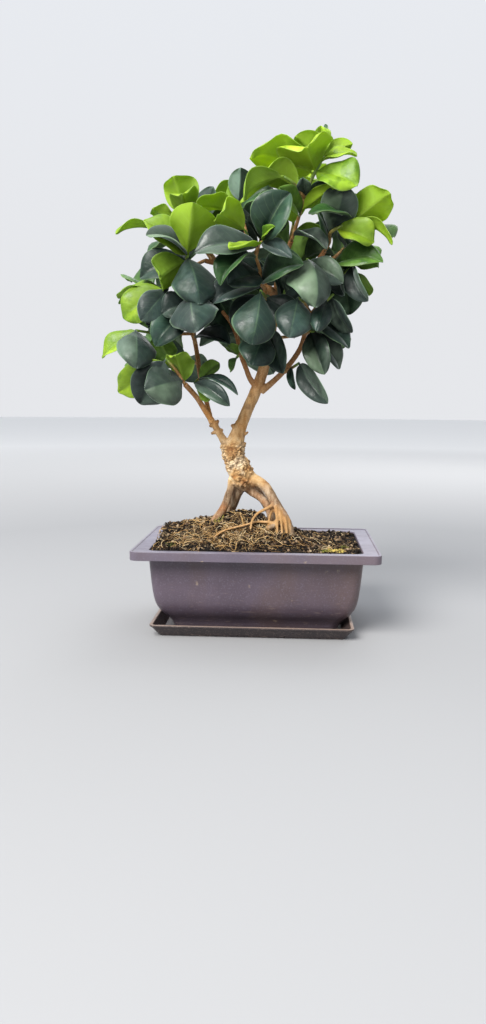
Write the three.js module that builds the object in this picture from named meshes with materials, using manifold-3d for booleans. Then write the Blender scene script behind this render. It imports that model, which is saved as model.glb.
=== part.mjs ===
// A japanese privet bonsai in its pot, with soil and drip tray.
// Millimetres, Z up, the front looks along -Y, and Z is 0 under the tray.
import * as THREE from "three";
import Module from "manifold-3d";

const wasm = await Module();
wasm.setup();
const { Manifold, Mesh } = wasm;

const rad = THREE.MathUtils.degToRad;
const point = (p) => new THREE.Vector3(p[0], p[1], p[2]);

// Driving dimensions
const potWidth = 200;
const potDepth = 145.3;
const potRimTop = 70.6;
const trayWidth = 165.2;
const trayDepth = 131;
const trayHeight = 10.1;
const trayFloor = 2.2;
const trayShift = [-2.5, -2.5, 0];
const trayWall = 1.6;
const clearance = 0.3;
const bladeThickness = 0.8;
const petioleHalfWidth = 0.9;
const stemRadius = 1.3;
const mergeTolerance = 0.03;

// Solids from rings

// Joins equal rings of points, given in order along the body, into one closed solid.
function loft(rings) {
  const count = rings[0].length;
  const points = rings.flat();
  const triangles = [];
  for (let i = 0; i < rings.length - 1; i++) {
    for (let j = 0; j < count; j++) {
      const a = i * count + j;
      const b = i * count + ((j + 1) % count);
      triangles.push([a, b, b + count], [a, b + count, a + count]);
    }
  }
  const last = (rings.length - 1) * count;
  for (let j = 1; j < count - 1; j++) {
    triangles.push([0, j + 1, j]);
    triangles.push([last, last + j, last + j + 1]);
  }
  return solidOf(points, triangles);
}

function solidOf(points, triangles) {
  const vertProperties = new Float32Array(points.flatMap((p) => [p.x, p.y, p.z]));
  const triVerts = new Uint32Array(triangles.flat());
  return new Manifold(new Mesh({ numProp: 3, vertProperties, triVerts }));
}

// A rectangle with rounded corners, counted anticlockwise seen from above.
function roundedRing(halfX, halfY, corner, z, longParts = 1, shortParts = 1) {
  const ring = [];
  const corners = [[1, 1, 0], [-1, 1, 90], [-1, -1, 180], [1, -1, 270]];
  const arcParts = 2;
  corners.forEach(([sx, sy, start], index) => {
    const cx = sx * (halfX - corner);
    const cy = sy * (halfY - corner);
    for (let k = 0; k <= arcParts; k++) {
      const angle = rad(start + (90 * k) / arcParts);
      ring.push(new THREE.Vector3(cx + corner * Math.cos(angle), cy + corner * Math.sin(angle), z));
    }
    const alongX = index % 2 === 0;
    const parts = alongX ? longParts : shortParts;
    const run = alongX ? 2 * (halfX - corner) : 2 * (halfY - corner);
    const from = ring[ring.length - 1];
    const step = new THREE.Vector3(alongX ? -sx : 0, alongX ? 0 : -sy, 0);
    for (let k = 1; k < parts; k++) {
      ring.push(from.clone().addScaledVector(step, (run * k) / parts));
    }
  });
  return ring;
}

// Pot

// Each row is half width, height and corner radius. The pot is narrower front to back by one fixed amount.
const potHalf = potWidth / 2;
const potNarrower = (potWidth - potDepth) / 2;
const potFoot = trayFloor;
const potOutside = [
  [68.5, potFoot, 8],
  [70.5, potFoot + 4.5, 9],
  [73.4, potFoot + 8.6, 9.5],
  [77.3, 15, 9.5],
  [80.3, 19.4, 9],
  [82.9, 26, 8.5],
  [84.6, 36, 8],
  [85.9, 49, 8],
  [87.4, 67.6, 8],
];
const potRim = [
  [potHalf - 1.8, 67.6, 6],
  [potHalf - 1.8, 63.5, 6],
  [potHalf, 63.5, 6.5],
  [potHalf, potRimTop, 6.5],
  [potHalf - 1.6, potRimTop, 6],
  [potHalf - 2.2, potRimTop - 0.8, 5.5],
  [potHalf - 13, potRimTop - 0.8, 7],
  [potHalf - 13.7, potRimTop - 1.8, 7],
];
const potInside = [
  [84.9, 62, 7],
  [83.8, 49, 7],
  [82.5, 36, 7],
  [80.8, 26.5, 7.5],
  [78, 20, 8],
  [74.4, 14.8, 8.5],
  [71, 11.4, 8.5],
];
const potFloorHeight = 6.4;
const potInnerFloor = [68, potFloorHeight, 7];

function potRing([halfX, z, corner], inset = 0, longParts = 1, shortParts = 1) {
  return roundedRing(halfX - inset, halfX - potNarrower - inset, corner, z, longParts, shortParts);
}

function buildPot() {
  const rows = [...potOutside, ...potRim, ...potInside, potInnerFloor];
  return loft(rows.map((row) => potRing(row)));
}

// Drip tray

function buildTray() {
  const halfX = trayWidth / 2;
  const narrower = (trayWidth - trayDepth) / 2;
  const lip = 0.9;
  const baseInset = 7.1;
  const rows = [
    [halfX - baseInset, 0, 4],
    [halfX - lip, trayHeight - 1.6, 4.6],
    [halfX, trayHeight - 1.6, 5.5],
    [halfX, trayHeight, 5.5],
    [halfX - lip - trayWall, trayHeight, 3.4],
    [halfX - baseInset - trayWall, trayFloor, 3],
  ];
  const rings = rows.map(([hx, z, corner]) => roundedRing(hx, hx - narrower, corner, z));
  return loft(rings).translate(trayShift);
}

// Wood

// A limb has one ring at each of its points, which are x, y, z and radius.
function limb(rows, sides) {
  const curve = new THREE.CatmullRomCurve3(rows.map(point), false, "centripetal");
  const rings = [];
  const count = rows.length - 1;
  let across = null;
  for (let i = 0; i <= count; i++) {
    const t = i / count;
    const centre = curve.getPoint(t);
    const along = curve.getTangent(t).normalize();
    const start = across ?? new THREE.Vector3(0.31, 0.87, 0.21);
    across = start.clone().addScaledVector(along, -start.dot(along)).normalize();
    const other = along.clone().cross(across);
    const radius = rows[i][3];
    const ring = [];
    for (let j = 0; j < sides; j++) {
      const angle = (2 * Math.PI * j) / sides;
      const p = centre.clone().addScaledVector(across, radius * Math.cos(angle));
      ring.push(p.addScaledVector(other, radius * Math.sin(angle)));
    }
    rings.push(ring);
  }
  return loft(rings);
}

// Thick wood: x, y, z and radius at each point.
const thickLimbs = [
  // lower trunk
  [[-10.7, 0, 113.6, 4.2], [-12.2, 0, 118, 7.8], [-14.3, 0, 123, 10], [-15.8, 0, 129, 10.3],
    [-18.2, 0, 134.5, 9.8], [-21.3, 0, 140.5, 9], [-22.5, 0, 147, 9.4], [-23.5, 0, 152, 8.8]],
  // left root leg, with a darker strand behind it
  [[-19, 0, 126.5, 6], [-22.8, -1, 121, 4], [-24.1, -1, 115.4, 3.2], [-26.1, -1, 109, 3.3],
    [-28, -2, 103, 3.4], [-30.5, -3, 97, 3.5], [-34.5, -3, 91, 3.8], [-40, -4, 84, 3.4],
    [-46, -5, 74, 2.6]],
  [[-15, 5, 118, 5.6], [-18.8, 7, 110, 4.2], [-21.5, 9, 103, 4], [-24.5, 11, 96, 3.9],
    [-28, 13, 88, 3.8], [-33, 16, 74, 3]],
  // right root leg, the outer and the inner strand
  [[-6.4, -1, 123, 6], [-0.1, -3, 121.2, 4.6], [5.8, -6, 117.3, 4.3], [10.1, -9, 111.8, 4.1],
    [13.4, -11, 105.9, 4.2], [17.1, -13, 99.5, 4.5], [21, -15, 93, 4.8], [24.4, -16, 86.5, 4.8],
    [27.5, -17, 77, 4.2], [30, -18, 62, 3]],
  [[-10.3, 3, 116.4, 5.2], [-5, 2, 111.2, 3.7], [1.1, 1, 107.3, 3.3], [6.2, -2, 102.6, 3.2],
    [9.4, -4, 97, 3.3], [11, -6, 91, 3.3], [12, -7, 82, 3]],
  // root that runs back from the right leg
  [[-8, 8, 118, 5], [2, 18, 105, 3.8], [10, 28, 90, 3.6], [17, 37, 73, 3.4], [22, 42, 58, 2.4]],
  // right main branch
  [[-22, 0, 150, 8.4], [-17.5, 2, 165, 6], [-14.3, 3, 173, 5.1], [-10.8, 4, 182, 4.9],
    [-6.8, 5, 191, 4.9], [-1, 5, 205, 4.8], [4, 5, 221, 4.4], [8, 6, 238, 3.9], [11, 8, 260, 3.4],
    [12, 6, 280, 3]],
];

const twigs = [
  // left main branch and its two twigs
  [[-24, 0, 146, 6], [-29, -1, 154, 3.8], [-34, -4, 162.5, 3], [-37.5, -7, 169, 2.8],
    [-41.2, -10, 175, 2.6], [-46, -14, 183, 2.4], [-52, -20, 193, 2.2], [-60, -30, 203, 2.2]],
  [[-40, -10, 171, 2.4], [-43.5, -7, 184, 2.1], [-47, -5, 197, 2.1], [-51, -2, 213, 2.1],
    [-54, 0, 232, 2], [-58, 0, 247, 2], [-69, -6, 258, 1.9], [-80, -14, 267, 1.8]],
  // left twig of the right branch
  [[-3, 5, 202, 3], [-8, 1, 208, 2.4], [-12, -4, 218, 2.1], [-16, -8, 229, 2], [-19, -12, 243, 1.8],
    [-24, -14, 254, 1.7], [-31, -16, 263, 1.5]],
  // right twig of the right branch
  [[1, 5, 198, 3.2], [12, 2, 207, 2.5], [23, -4, 218, 2.3], [33, -10, 232, 2.2], [37, -14, 244, 2],
    [38, -16, 253, 1.9]],
  // upper wood inside the crown
  [[12, 6, 278, 3.2], [16, 2, 296, 2.6], [21, -6, 310, 2.2], [25, -14, 319, 2]],
  [[11, 8, 258, 3], [28, 14, 281, 2.6], [43, 14, 301, 2.3], [53, 8, 315, 2]],
  [[12, 6, 278, 3], [-7, 10, 294, 2.5], [-28, 8, 302, 2.2], [-47, 0, 306, 2]],
  // stub that was cut back
  [[12, 6, 278, 3.2], [9, -12, 280, 3.4], [6, -25, 279, 3.8]],
  // buds and pruning scars
  [[-17, 0, 152, 4], [-13, -1, 152.5, 1.8], [-11.2, -1, 154.5, 1]],
  [[-17, 1, 162, 4], [-11.8, 0, 162, 1.4], [-9.5, 0, 163.8, 0.8]],
  [[-37, -6, 170, 2.4], [-34.6, -8, 173.5, 1.2]],
  [[-34, -4, 162.5, 2.4], [-31.2, -5, 166, 1.1]],
  [[-36, -4, 164, 2.4], [-41, -5, 161.8, 1]],
  [[-38, -6, 169, 2.4], [-42.3, -8, 168.6, 1]],
  [[-19.5, 1, 167, 3.6], [-24.3, 0, 169.4, 1]],
  [[-10, 2, 184.5, 3.4], [-9.8, -1.4, 184.9, 2.3]],
  [[-13, -2, 134.5, 4], [-6.8, -4, 133.6, 1.4]],
  [[-12, 0, 131.5, 4], [-4.9, -1, 131.6, 1.1]],
  // burls on the lower trunk
  [[-21, -4, 145, 6], [-25, -8, 143.5, 2.8]],
  [[-16, -5, 130, 7], [-13, -9.5, 127, 3]],
  [[-16, -5, 124, 6], [-19.5, -9.5, 126, 2.8]],
  [[-17, 5, 128, 7], [-14, 12, 129, 3.2]],
  // thin roots that come down over the right leg and spread over the soil
  [[15, -13, 104.5, 2.6], [10.3, -17, 101.2, 1.7], [5, -20, 98.9, 1.3], [-0.3, -21, 95.8, 1.2],
    [-3.6, -22, 91.5, 1.1], [-5.1, -23, 87, 1], [-5.8, -25, 79, 0.9]],
  [[20, -14, 91, 2.6], [16.8, -18, 89.9, 2.2], [13.6, -20, 88, 1.5], [8.1, -19, 88.6, 1.3],
    [-1, -18, 88.4, 1.1], [-11, -22, 86, 1], [-20.5, -25, 84, 0.9], [-28.6, -28, 81.6, 0.9],
    [-36, -33, 77, 0.8]],
  [[20, -14, 89, 2.8], [16, -19, 87, 2.4], [12.4, -21, 85.5, 2.2], [7.8, -21, 83.6, 1.7]],
  [[15, -13, 104, 2.6], [15.6, -17.5, 100, 1.6], [16, -19.5, 95, 1.2], [16.7, -21, 89, 1.1],
    [17, -23, 80, 1]],
  [[17, -13, 102, 2.6], [19.1, -19, 95.5, 1.4], [20.3, -21.5, 88, 1.1], [21, -24, 79, 1]],
  [[13, -12, 104, 2.6], [11.5, -15, 97.2, 1.4], [9.9, -17, 91.5, 1.1], [9, -20, 82, 1]],
  [[20, -15, 97, 3], [23, -20, 92, 1.6], [24.3, -22, 87, 1.2], [25, -25, 78, 1]],
];

const barkSides = 8;
const twigSides = 6;

function buildWood(extra) {
  const grown = (rows) => rows.map(([x, y, z, r]) => [x, y, z, r + extra]);
  const parts = [
    ...thickLimbs.map((rows) => limb(grown(rows), barkSides)),
    ...twigs.map((rows) => limb(grown(rows), twigSides)),
  ];
  return Manifold.union(parts).asOriginal().simplify(mergeTolerance);
}

// Soil

// The mound: a broad heap left of the middle, one under the trunk and one at the foot of the right root.
const soilEdge = 69.4;
const soilHeaps = [
  { x: -40, y: 6, height: 18.5, spreadX: 60, spreadY: 38 },
  { x: -10, y: -2, height: 12, spreadX: 22, spreadY: 24 },
  { x: 21, y: -8, height: 9, spreadX: 20, spreadY: 26 },
];

function soilHeight(x, y) {
  let z = soilEdge;
  for (const heap of soilHeaps) {
    const across = (x - heap.x) / heap.spreadX;
    const along = (y - heap.y) / heap.spreadY;
    z += heap.height * Math.exp(-across * across - along * along);
  }
  return z + 0.9 * Math.sin(x * 0.19 + 1.3) * Math.cos(y * 0.23);
}

function buildSoil(wood) {
  const longParts = 5;
  const shortParts = 3;
  const sides = [potInnerFloor, ...[...potInside].reverse(), [potHalf - 13.8, soilEdge - 0.8, 7]];
  const rings = sides.map((row) => potRing(row, clearance, longParts, shortParts));
  const edge = rings[rings.length - 1];
  const centre = { x: -18, y: 0 };
  for (const share of [0.94, 0.76, 0.55, 0.35, 0.15]) {
    rings.push(edge.map((p) => {
      const x = centre.x + (p.x - centre.x) * share;
      const y = centre.y + (p.y - centre.y) * share;
      const z = soilHeight(x, y);
      return new THREE.Vector3(x, y, z);
    }));
  }
  return loft(rings).subtract(wood).asOriginal().simplify(mergeTolerance);
}

// Leaves

// Rows along the blade, from the stem to the tip.
const bladeRows = [0, 0.16, 0.48, 0.8, 1];

// Where a leaf is widest: 0.8 is nearer the stem, 1.4 is nearer the tip.
const usualShape = 1.05;

// Half width of the blade as a share of its widest, at a place from 0 at the stem to 1 at the tip.
function bladeShare(u, shape) {
  const along = Math.max(0, (u - 0.06) / 0.94);
  return Math.pow(Math.sin(Math.PI * Math.pow(along, shape)), 0.6 + 0.3 * u ** 3);
}

// Where the upper side looks, seen from the front: 0 faces the viewer, 180 turns the underside to the viewer.
const toViewer = new THREE.Vector3(0.04, -0.99, -0.12).normalize();

function faceFromTurn(base, tip, turn) {
  const chord = tip.clone().sub(base).normalize();
  const front = toViewer.clone().addScaledVector(chord, -toViewer.dot(chord)).normalize();
  const side = chord.clone().cross(front);
  return front.multiplyScalar(Math.cos(rad(turn))).addScaledVector(side, Math.sin(rad(turn)));
}

// A blade bends along its length by `arch`, and its halves stand up from flat by `cup`, both in degrees.
function bladeSolid(leaf, rows) {
  const chord = leaf.tip.clone().sub(leaf.base);
  const span = chord.length();
  chord.normalize();
  const up = leaf.face.clone().addScaledVector(chord, -leaf.face.dot(chord)).normalize();
  const arch = rad(Math.abs(leaf.arch) < 1 ? 1 : leaf.arch);
  const cup = rad(leaf.cup);
  const length = (span * (arch / 2)) / Math.sin(arch / 2);
  const along0 = chord.clone().multiplyScalar(Math.cos(arch / 2)).addScaledVector(up, Math.sin(arch / 2));
  const up0 = up.clone().multiplyScalar(Math.cos(arch / 2)).addScaledVector(chord, -Math.sin(arch / 2));
  const side = chord.clone().cross(up);
  const points = [];
  for (const u of rows) {
    const bend = arch * u;
    const middle = leaf.base.clone().addScaledVector(along0, (length * Math.sin(bend)) / arch);
    middle.addScaledVector(up0, (-length * (1 - Math.cos(bend))) / arch);
    const normal = up0.clone().multiplyScalar(Math.cos(bend)).addScaledVector(along0, Math.sin(bend));
    const half = Math.max((leaf.width / 2) * bladeShare(u, leaf.shape), petioleHalfWidth);
    const tip = u === 1;
    for (const face of [0.5, -0.5]) {
      for (const v of tip ? [0] : [-1, 0, 1]) {
        const p = middle.clone().addScaledVector(side, v * half * Math.cos(cup));
        const lift = Math.abs(v) * half * Math.sin(cup);
        points.push(p.addScaledVector(normal, lift + face * bladeThickness));
      }
    }
  }
  return solidOf(points, bladeTriangles(rows.length));
}

// Each row holds left, middle and right above, then the same three below, and the last row holds two points.
function bladeTriangles(rowCount) {
  const triangles = [];
  const quad = (a, b, c, d) => triangles.push([a, b, c], [a, c, d]);
  for (let i = 0; i < rowCount - 2; i++) {
    const a = i * 6;
    const b = a + 6;
    for (const k of [0, 1]) {
      quad(a + k, a + k + 1, b + k + 1, b + k);
      triangles.push([a + 3 + k, b + 4 + k, a + 4 + k], [a + 3 + k, b + 3 + k, b + 4 + k]);
    }
    quad(a + 5, b + 5, b + 2, a + 2);
    quad(b + 3, a + 3, a, b);
  }
  quad(3, 4, 1, 0);
  quad(4, 5, 2, 1);
  const a = (rowCount - 2) * 6;
  const tipAbove = a + 6;
  const tipBelow = a + 7;
  for (const k of [0, 1]) {
    triangles.push([a + k, a + k + 1, tipAbove], [a + 3 + k, tipBelow, a + 4 + k]);
  }
  quad(a + 5, tipBelow, tipAbove, a + 2);
  quad(tipBelow, a + 3, a, tipAbove);
  return triangles;
}

// Shoots seen from the front.
// Stems are points from the wood outwards.
// A leaf is: stem, place along its points, tip x, y, z, width, turn, arch, cup, and a shape if unusual.
const frontShoots = {
  shoot_top: {
    stems: [
      [[25, -14, 319], [30, -22, 333], [35, -30, 349], [41, -34, 363], [47, -34, 374], [49, -32, 381]],
      [[35, -30, 349], [27, -44, 356], [19, -50, 360]],
    ],
    leaves: [
      [0, 3.4, 35, -60, 381, 46, 180, 50, 24, 1.2],
      [0, 3.2, -8, -52, 372, 37, 130, 62, 12, 0.85],
      [0, 4.8, 47, -30, 403, 18, 10, -25, 40],
      [0, 4.3, 29, -38, 395, 24, 150, 12, 22],
      [0, 4.8, 72, -28, 390, 16, -130, 40, 30],
      [0, 4.2, 75, -42, 378, 20, -60, 45, 25],
      [0, 3.4, 75, -54, 353, 36, -34, 35, 20, 1.25],
      [0, 5, 57, -12, 409, 12, 70, 12, 16],
      [1, 0.5, 5, -54, 364, 26, 150, 38, 25],
      [1, 2, -12, -70, 338, 28, 125, 62, 22],
      [0, 1.2, 16, -58, 350, 21, 36, 38, 28],
      [0, 1.4, 60, -54, 352, 17, -150, 25, 40],
      [0, 0.3, 53, -48, 307, 19, -55, 45, 30],
      [0, 2.3, 53, -42, 364, 16, -70, 19, 16],
      [0, 2.1, 36, -48, 354, 13, 20, 12, 16],
    ],
  },
  shoot_top_right: {
    stems: [[[53, 8, 315], [56, -12, 318], [56, -30, 322], [62, -36, 325], [72, -36, 330], [77, -36, 332]]],
    leaves: [
      [0, 1.7, 65, -56, 352, 30, 5, 35, -14, 1.3],
      [0, 4.6, 100, -54, 347, 35, -168, 16, 30, 0.66],
      [0, 4.2, 107, -40, 322, 18, -110, 55, 30],
      [0, 4.3, 38, -56, 332, 20, 70, 45, 26],
      [0, 1, 46, -36, 338, 24, 75, 25, 22],
      [0, 2.7, 90, -40, 313, 24, -60, 45, 30],
    ],
  },
  shoot_mid_right: {
    stems: [[[35, 14, 291], [37, -8, 297], [38, -30, 300], [38, -42, 300]]],
    leaves: [
      [0, 2.8, 46, -72, 260, 39, -20, 80, -22, 0.75],
      [0, 1.8, 66, -48, 282, 26, -40, 50, 30],
    ],
  },
  shoot_right: {
    stems: [[[48, 11, 308], [59, -8, 296], [67, -16, 293], [75, -24, 298]]],
    leaves: [
      [0, 0.9, 97, -40, 300, 30, -50, 60, 30],
      [0, 3, 86, -40, 268, 21, 40, 75, 34],
      [0, 2, 74, -12, 260, 30, 0, 31, 16],
      [0, 1.6, 67, -38, 273, 18, 30, 38, 38],
      [0, 2.2, 82, -14, 312, 24, -60, 31, 16],
    ],
  },
  shoot_right_low: {
    stems: [
      [[38, -16, 253], [42, -26, 260], [48, -36, 266], [55, -38, 270], [59, -36, 274]],
      [[42, -26, 260], [36, -38, 267], [31, -46, 270]],
    ],
    leaves: [
      [1, 2, 25, -66, 238, 34, 0, 52, -24, 0.8],
      [0, 2.8, 46, -62, 244, 19, 10, 50, -25, 0.9],
      [0, 0.8, 74, -30, 233, 29, -42, 42, 26],
      [0, 3.6, 75, -30, 244, 18, 50, 45, 30, 0.85],
      [0, 4, 76, -20, 266, 30, -10, 25, 22],
    ],
  },
  shoot_low_right: {
    stems: [[[37, -14, 244], [41, -24, 246], [45, -30, 245]]],
    leaves: [
      [0, 1.2, 53, -44, 211, 25, 10, 48, 28],
      [0, 2, 67, -24, 216, 20, -30, 31, 26],
    ],
  },
  shoot_hanging: {
    stems: [[[21, -3, 214], [25, -14, 216], [30, -18, 219], [33, -20, 221]]],
    leaves: [
      [0, 3, 56, -38, 188, 21, 18, 42, 28, 0.9],
      [0, 1.4, 30, -24, 199, 8, 20, 100, 40],
    ],
  },
  shoot_centre_low: {
    stems: [[[12, 6, 263], [10, -14, 267], [7, -32, 270], [4, -48, 273], [2, -56, 274]]],
    leaves: [
      [0, 3.9, -3, -78, 232, 38, -10, 48, -24, 1.2],
      [0, 2.4, 34, -52, 252, 28, -10, 38, 16],
      [0, 2, -22, -44, 250, 28, 20, 38, 16],
    ],
  },
  shoot_low_centre: {
    stems: [[[10, 7, 250], [9, -10, 249], [7, -24, 249], [5, -32, 246]]],
    leaves: [
      [0, 2.9, -4, -58, 218, 33, 0, 50, -24],
      [0, 1.2, 20, -34, 212, 22, 20, 35, 18],
    ],
  },
  shoot_inner_left: {
    stems: [[[-16, -8, 230], [-17, -20, 227], [-18, -24, 225]]],
    leaves: [
      [0, 1, -25, -32, 234, 12, 160, 25, 27],
      [0, 2, -23, -34, 214, 11, 140, 25, 27],
    ],
  },
  shoot_centre: {
    stems: [[[6, -20, 279], [2, -36, 282], [1, -44, 292], [-2, -52, 302], [1, -56, 309], [4, -58, 311]]],
    leaves: [
      [0, 3.8, -47, -74, 301, 33, 42, 45, 22],
      [0, 4.6, -20, -86, 302, 20, 60, -25, 28],
      [0, 5, 13, -78, 318, 10, -60, 40, 40],
      [0, 5, 19, -78, 343, 38, -42, 45, 34],
      [0, 2.8, -28, -76, 276, 25, 50, 85, 30, 1.2],
      [0, 1, 34, -66, 294, 30, -48, 45, 30],
      [0, 1.6, -22, -66, 279, 28, 20, 38, 16],
      [0, 0.9, -36, -56, 266, 30, 50, 45, 18],
      [0, 4.4, 26, -74, 296, 14, -20, 38, 22],
    ],
  },
  shoot_mid_top: {
    stems: [
      [[-17, 9, 298], [-13, -10, 310], [-10, -28, 320], [-11, -36, 323]],
      [[-10, -28, 320], [-15, -20, 337], [-18, -14, 350]],
    ],
    leaves: [
      [0, 3, -29, -66, 330, 30, 160, 30, 34],
      [1, 2, -16, -20, 375, 22, 175, 15, 18],
      [1, 1.6, -30, -10, 364, 16, 160, 12, 27],
      [1, 1, -52, -40, 341, 26, 120, 38, 27],
      [1, 1.4, 10, -26, 358, 28, -60, 31, 22],
    ],
  },
  shoot_left_top: {
    stems: [[[-47, 0, 306], [-55, -20, 299], [-58, -34, 300], [-56, -40, 304]]],
    leaves: [
      [0, 3, -49, -66, 338, 42, 180, -40, 32, 1.4],
      [0, 2.8, -86, -60, 316, 28, 58, 60, 24, 1.2],
      [0, 2.6, -90, -46, 330, 30, 60, 25, 22],
      [0, 2.1, -76, -62, 282, 33, 152, 32, 26],
      [0, 2.4, -43, -68, 263, 43, -18, 74, -24],
      [0, 1.2, -98, -26, 289, 30, 30, 50, 20],
      [0, 1.8, -59, -48, 288, 10, 30, 25, 38],
    ],
  },
  shoot_left_top_back: {
    stems: [
      [[-40, 3, 305], [-52, 6, 322], [-61, 2, 335], [-63, -4, 340]],
      [[-61, 2, 335], [-75, 2, 334], [-86, 0, 331]],
    ],
    leaves: [
      [0, 3, -70, -18, 370, 38, 170, 12, 34, 1.2],
      [0, 2.5, -62, -28, 354, 30, 160, 25, 38],
      [1, 1, -89, -8, 348, 23, 140, 19, 22],
      [1, 2, -120, -12, 326, 18, 95, 55, 30],
      [0, 2, -40, 4, 366, 22, 165, 15, 20],
    ],
  },
  shoot_left_centre: {
    stems: [[[-55, 0, 237], [-55, -18, 258], [-54, -42, 269], [-53, -50, 272]]],
    leaves: [
      [0, 3, -46, -76, 241, 44, 0, 70, -26, 0.62],
      [0, 0.25, -23, -36, 236, 23, -56, 35, 30],
      [0, 1.4, -82, -50, 233, 30, 30, 50, 28],
      [0, 1.9, -76, -48, 258, 26, 20, 31, 16],
    ],
  },
  shoot_left_mid: {
    stems: [[[-80, -14, 267], [-76, -28, 276], [-73, -36, 278]]],
    leaves: [
      [0, 2, -92, -60, 252, 29, 10, 56, -10],
      [0, 1.6, -111, -34, 256, 34, 30, 30, 18],
      [0, 1.2, -119, -22, 283, 22, 50, 35, 34],
      [0, 0.9, -81, -52, 256, 18, -20, 25, 22],
      [0, 0.6, -84, -44, 240, 16, 20, 25, 22],
    ],
  },
  shoot_left_low: {
    stems: [[[-57, 0, 246], [-74, -10, 245], [-89, -22, 245], [-100, -32, 246]]],
    leaves: [
      [0, 3, -94, -60, 215, 36, -18, 62, -26, 0.85],
      [0, 2.8, -129, -30, 224, 24, 40, 31, 20],
      [0, 1.8, -72, -28, 222, 26, 150, 25, 22],
    ],
  },
  shoot_bottom_left: {
    stems: [[[-60, -30, 203], [-65, -36, 212], [-71, -42, 220], [-74, -44, 223]]],
    leaves: [
      [0, 0.3, -88, -60, 198, 37, 12, 58, -14, 0.8],
      [0, 2.9, -97, -35, 186, 35, 0, 30, 14],
      [0, 2.6, -118, -34, 196, 29, 20, 24, 10],
      [0, 0.1, -65, -50, 226, 28, 170, 25, 32],
    ],
  },
  shoot_lower_left: {
    stems: [[[-49.3, -3.8, 206], [-51, -14, 207], [-53, -22, 204]]],
    leaves: [
      [0, 1, -16, -36, 195, 14, -60, 70, 28],
      [0, 2, -22, -44, 186, 17, -45, 62, 28],
      [0, 1.5, -38, -34, 190, 16, 150, 25, 27],
      [0, 0.8, -33, -20, 222, 15, -150, 25, 27],
    ],
  },
};

// Shoots inside and behind the crown: the points of the stem and how many leaves it carries.
const backShoots = {
  shoot_back_top: { stem: [[17, 1, 298], [22, 20, 320], [27, 30, 344], [32, 26, 366]], count: 6 },
  shoot_back_right: { stem: [[28, 14, 281], [48, 34, 288], [68, 44, 300], [82, 44, 314]], count: 6 },
  shoot_back_low_right: { stem: [[9, 7, 243], [26, 24, 246], [46, 34, 252], [62, 34, 264]], count: 6 },
  shoot_back_middle: { stem: [[12, 7, 270], [2, 32, 270], [-6, 50, 284], [-10, 58, 302]], count: 5 },
  shoot_back_low: { stem: [[4, 5, 224], [-2, 24, 232], [-12, 42, 240], [-24, 52, 252]], count: 5 },
  shoot_back_left_top: { stem: [[-28, 8, 302], [-36, 26, 318], [-42, 36, 336], [-43, 34, 344]], count: 6 },
  shoot_back_left: { stem: [[-65, -4, 254], [-70, 22, 256], [-86, 34, 268], [-98, 34, 284]], count: 5 },
  shoot_back_left_low: { stem: [[-52, -1, 222], [-62, 18, 222], [-76, 32, 226], [-92, 34, 236]], count: 5 },
  shoot_inner_right: { stem: [[43, 14, 301], [62, 20, 312], [76, 16, 326], [84, 6, 338]], count: 5 },
  shoot_inner_middle: { stem: [[-7, 10, 294], [-4, 18, 316], [2, 18, 336], [8, 12, 352]], count: 6 },
  shoot_back_centre: { stem: [[13, 5, 284], [20, 36, 292], [28, 54, 306], [32, 58, 324]], count: 5 },
  shoot_inner_left_top: { stem: [[-32, 7, 302], [-35, -4, 293], [-39, -12, 282]], count: 4 },
  shoot_inner_left_back: { stem: [[-36, 4, 304], [-42, -7, 311], [-52, -10, 317], [-62, -10, 325]], count: 5 },
  shoot_inner_low: { stem: [[10, 9, 254], [14, -4, 262], [18, -12, 272], [22, -18, 284]], count: 5 },
};

// One seeded draw from 0 to 1.
function draw(first, second) {
  const value = Math.sin(first * 12.9898 + second * 78.233) * 43758.5453;
  return value - Math.floor(value);
}

function pathPoint(stem, place) {
  const before = Math.min(Math.floor(place), stem.length - 2);
  return point(stem[before]).lerp(point(stem[before + 1]), place - before);
}

function frontLeaves(shoot) {
  return shoot.leaves.map(([stem, place, x, y, z, width, turn, arch, cup, shape = usualShape]) => {
    const base = pathPoint(shoot.stems[stem], place);
    const tip = new THREE.Vector3(x, y, z);
    return { base, tip, width, arch, cup, shape, face: faceFromTurn(base, tip, turn) };
  });
}

// Pairs of leaves stand across from each other and close up towards the tip of the shoot.
function backLeaves(shoot, seed) {
  const leaves = [];
  for (let k = 0; k < shoot.count; k++) {
    const share = k / (shoot.count - 1);
    const place = (shoot.stem.length - 1) * (0.36 + 0.64 * share);
    const base = pathPoint(shoot.stem, place);
    const before = pathPoint(shoot.stem, Math.max(0, place - 0.5));
    const along = base.clone().sub(before).normalize();
    const level = new THREE.Vector3(0, 0, 1).cross(along).normalize();
    const upward = along.clone().cross(level);
    const round = rad(180 * (k % 2) + 90 * Math.floor(k / 2) + 50 * draw(seed, k));
    const lean = rad(78 - 34 * share + 12 * draw(seed, k + 20));
    const out = level.multiplyScalar(Math.cos(round)).addScaledVector(upward, Math.sin(round));
    const way = along.clone().multiplyScalar(Math.cos(lean)).addScaledVector(out, Math.sin(lean));
    const length = 34 + 8 * draw(seed, k + 40);
    leaves.push({
      base,
      tip: base.clone().addScaledVector(way, length),
      width: length * (0.76 + 0.12 * draw(seed, k + 60)),
      face: along.clone().add(new THREE.Vector3(0, 0, 0.5)).normalize(),
      arch: 28 + 32 * draw(seed, k + 80),
      cup: 12 + 20 * draw(seed, k + 100),
      shape: usualShape,
    });
  }
  return leaves;
}

// Growing room: a leaf that would cross another is bent or shortened a little, in a fixed order of tries.
const shortenTries = [1, 0.9, 0.8];
const bendTries = [0, 6, -6, 12, -12];
const turnTries = [0, 14, -14, 28, -28];
const gapBetweenShoots = 0.4;
const gapInShoot = 0.15;
const searchReach = 1;

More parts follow.
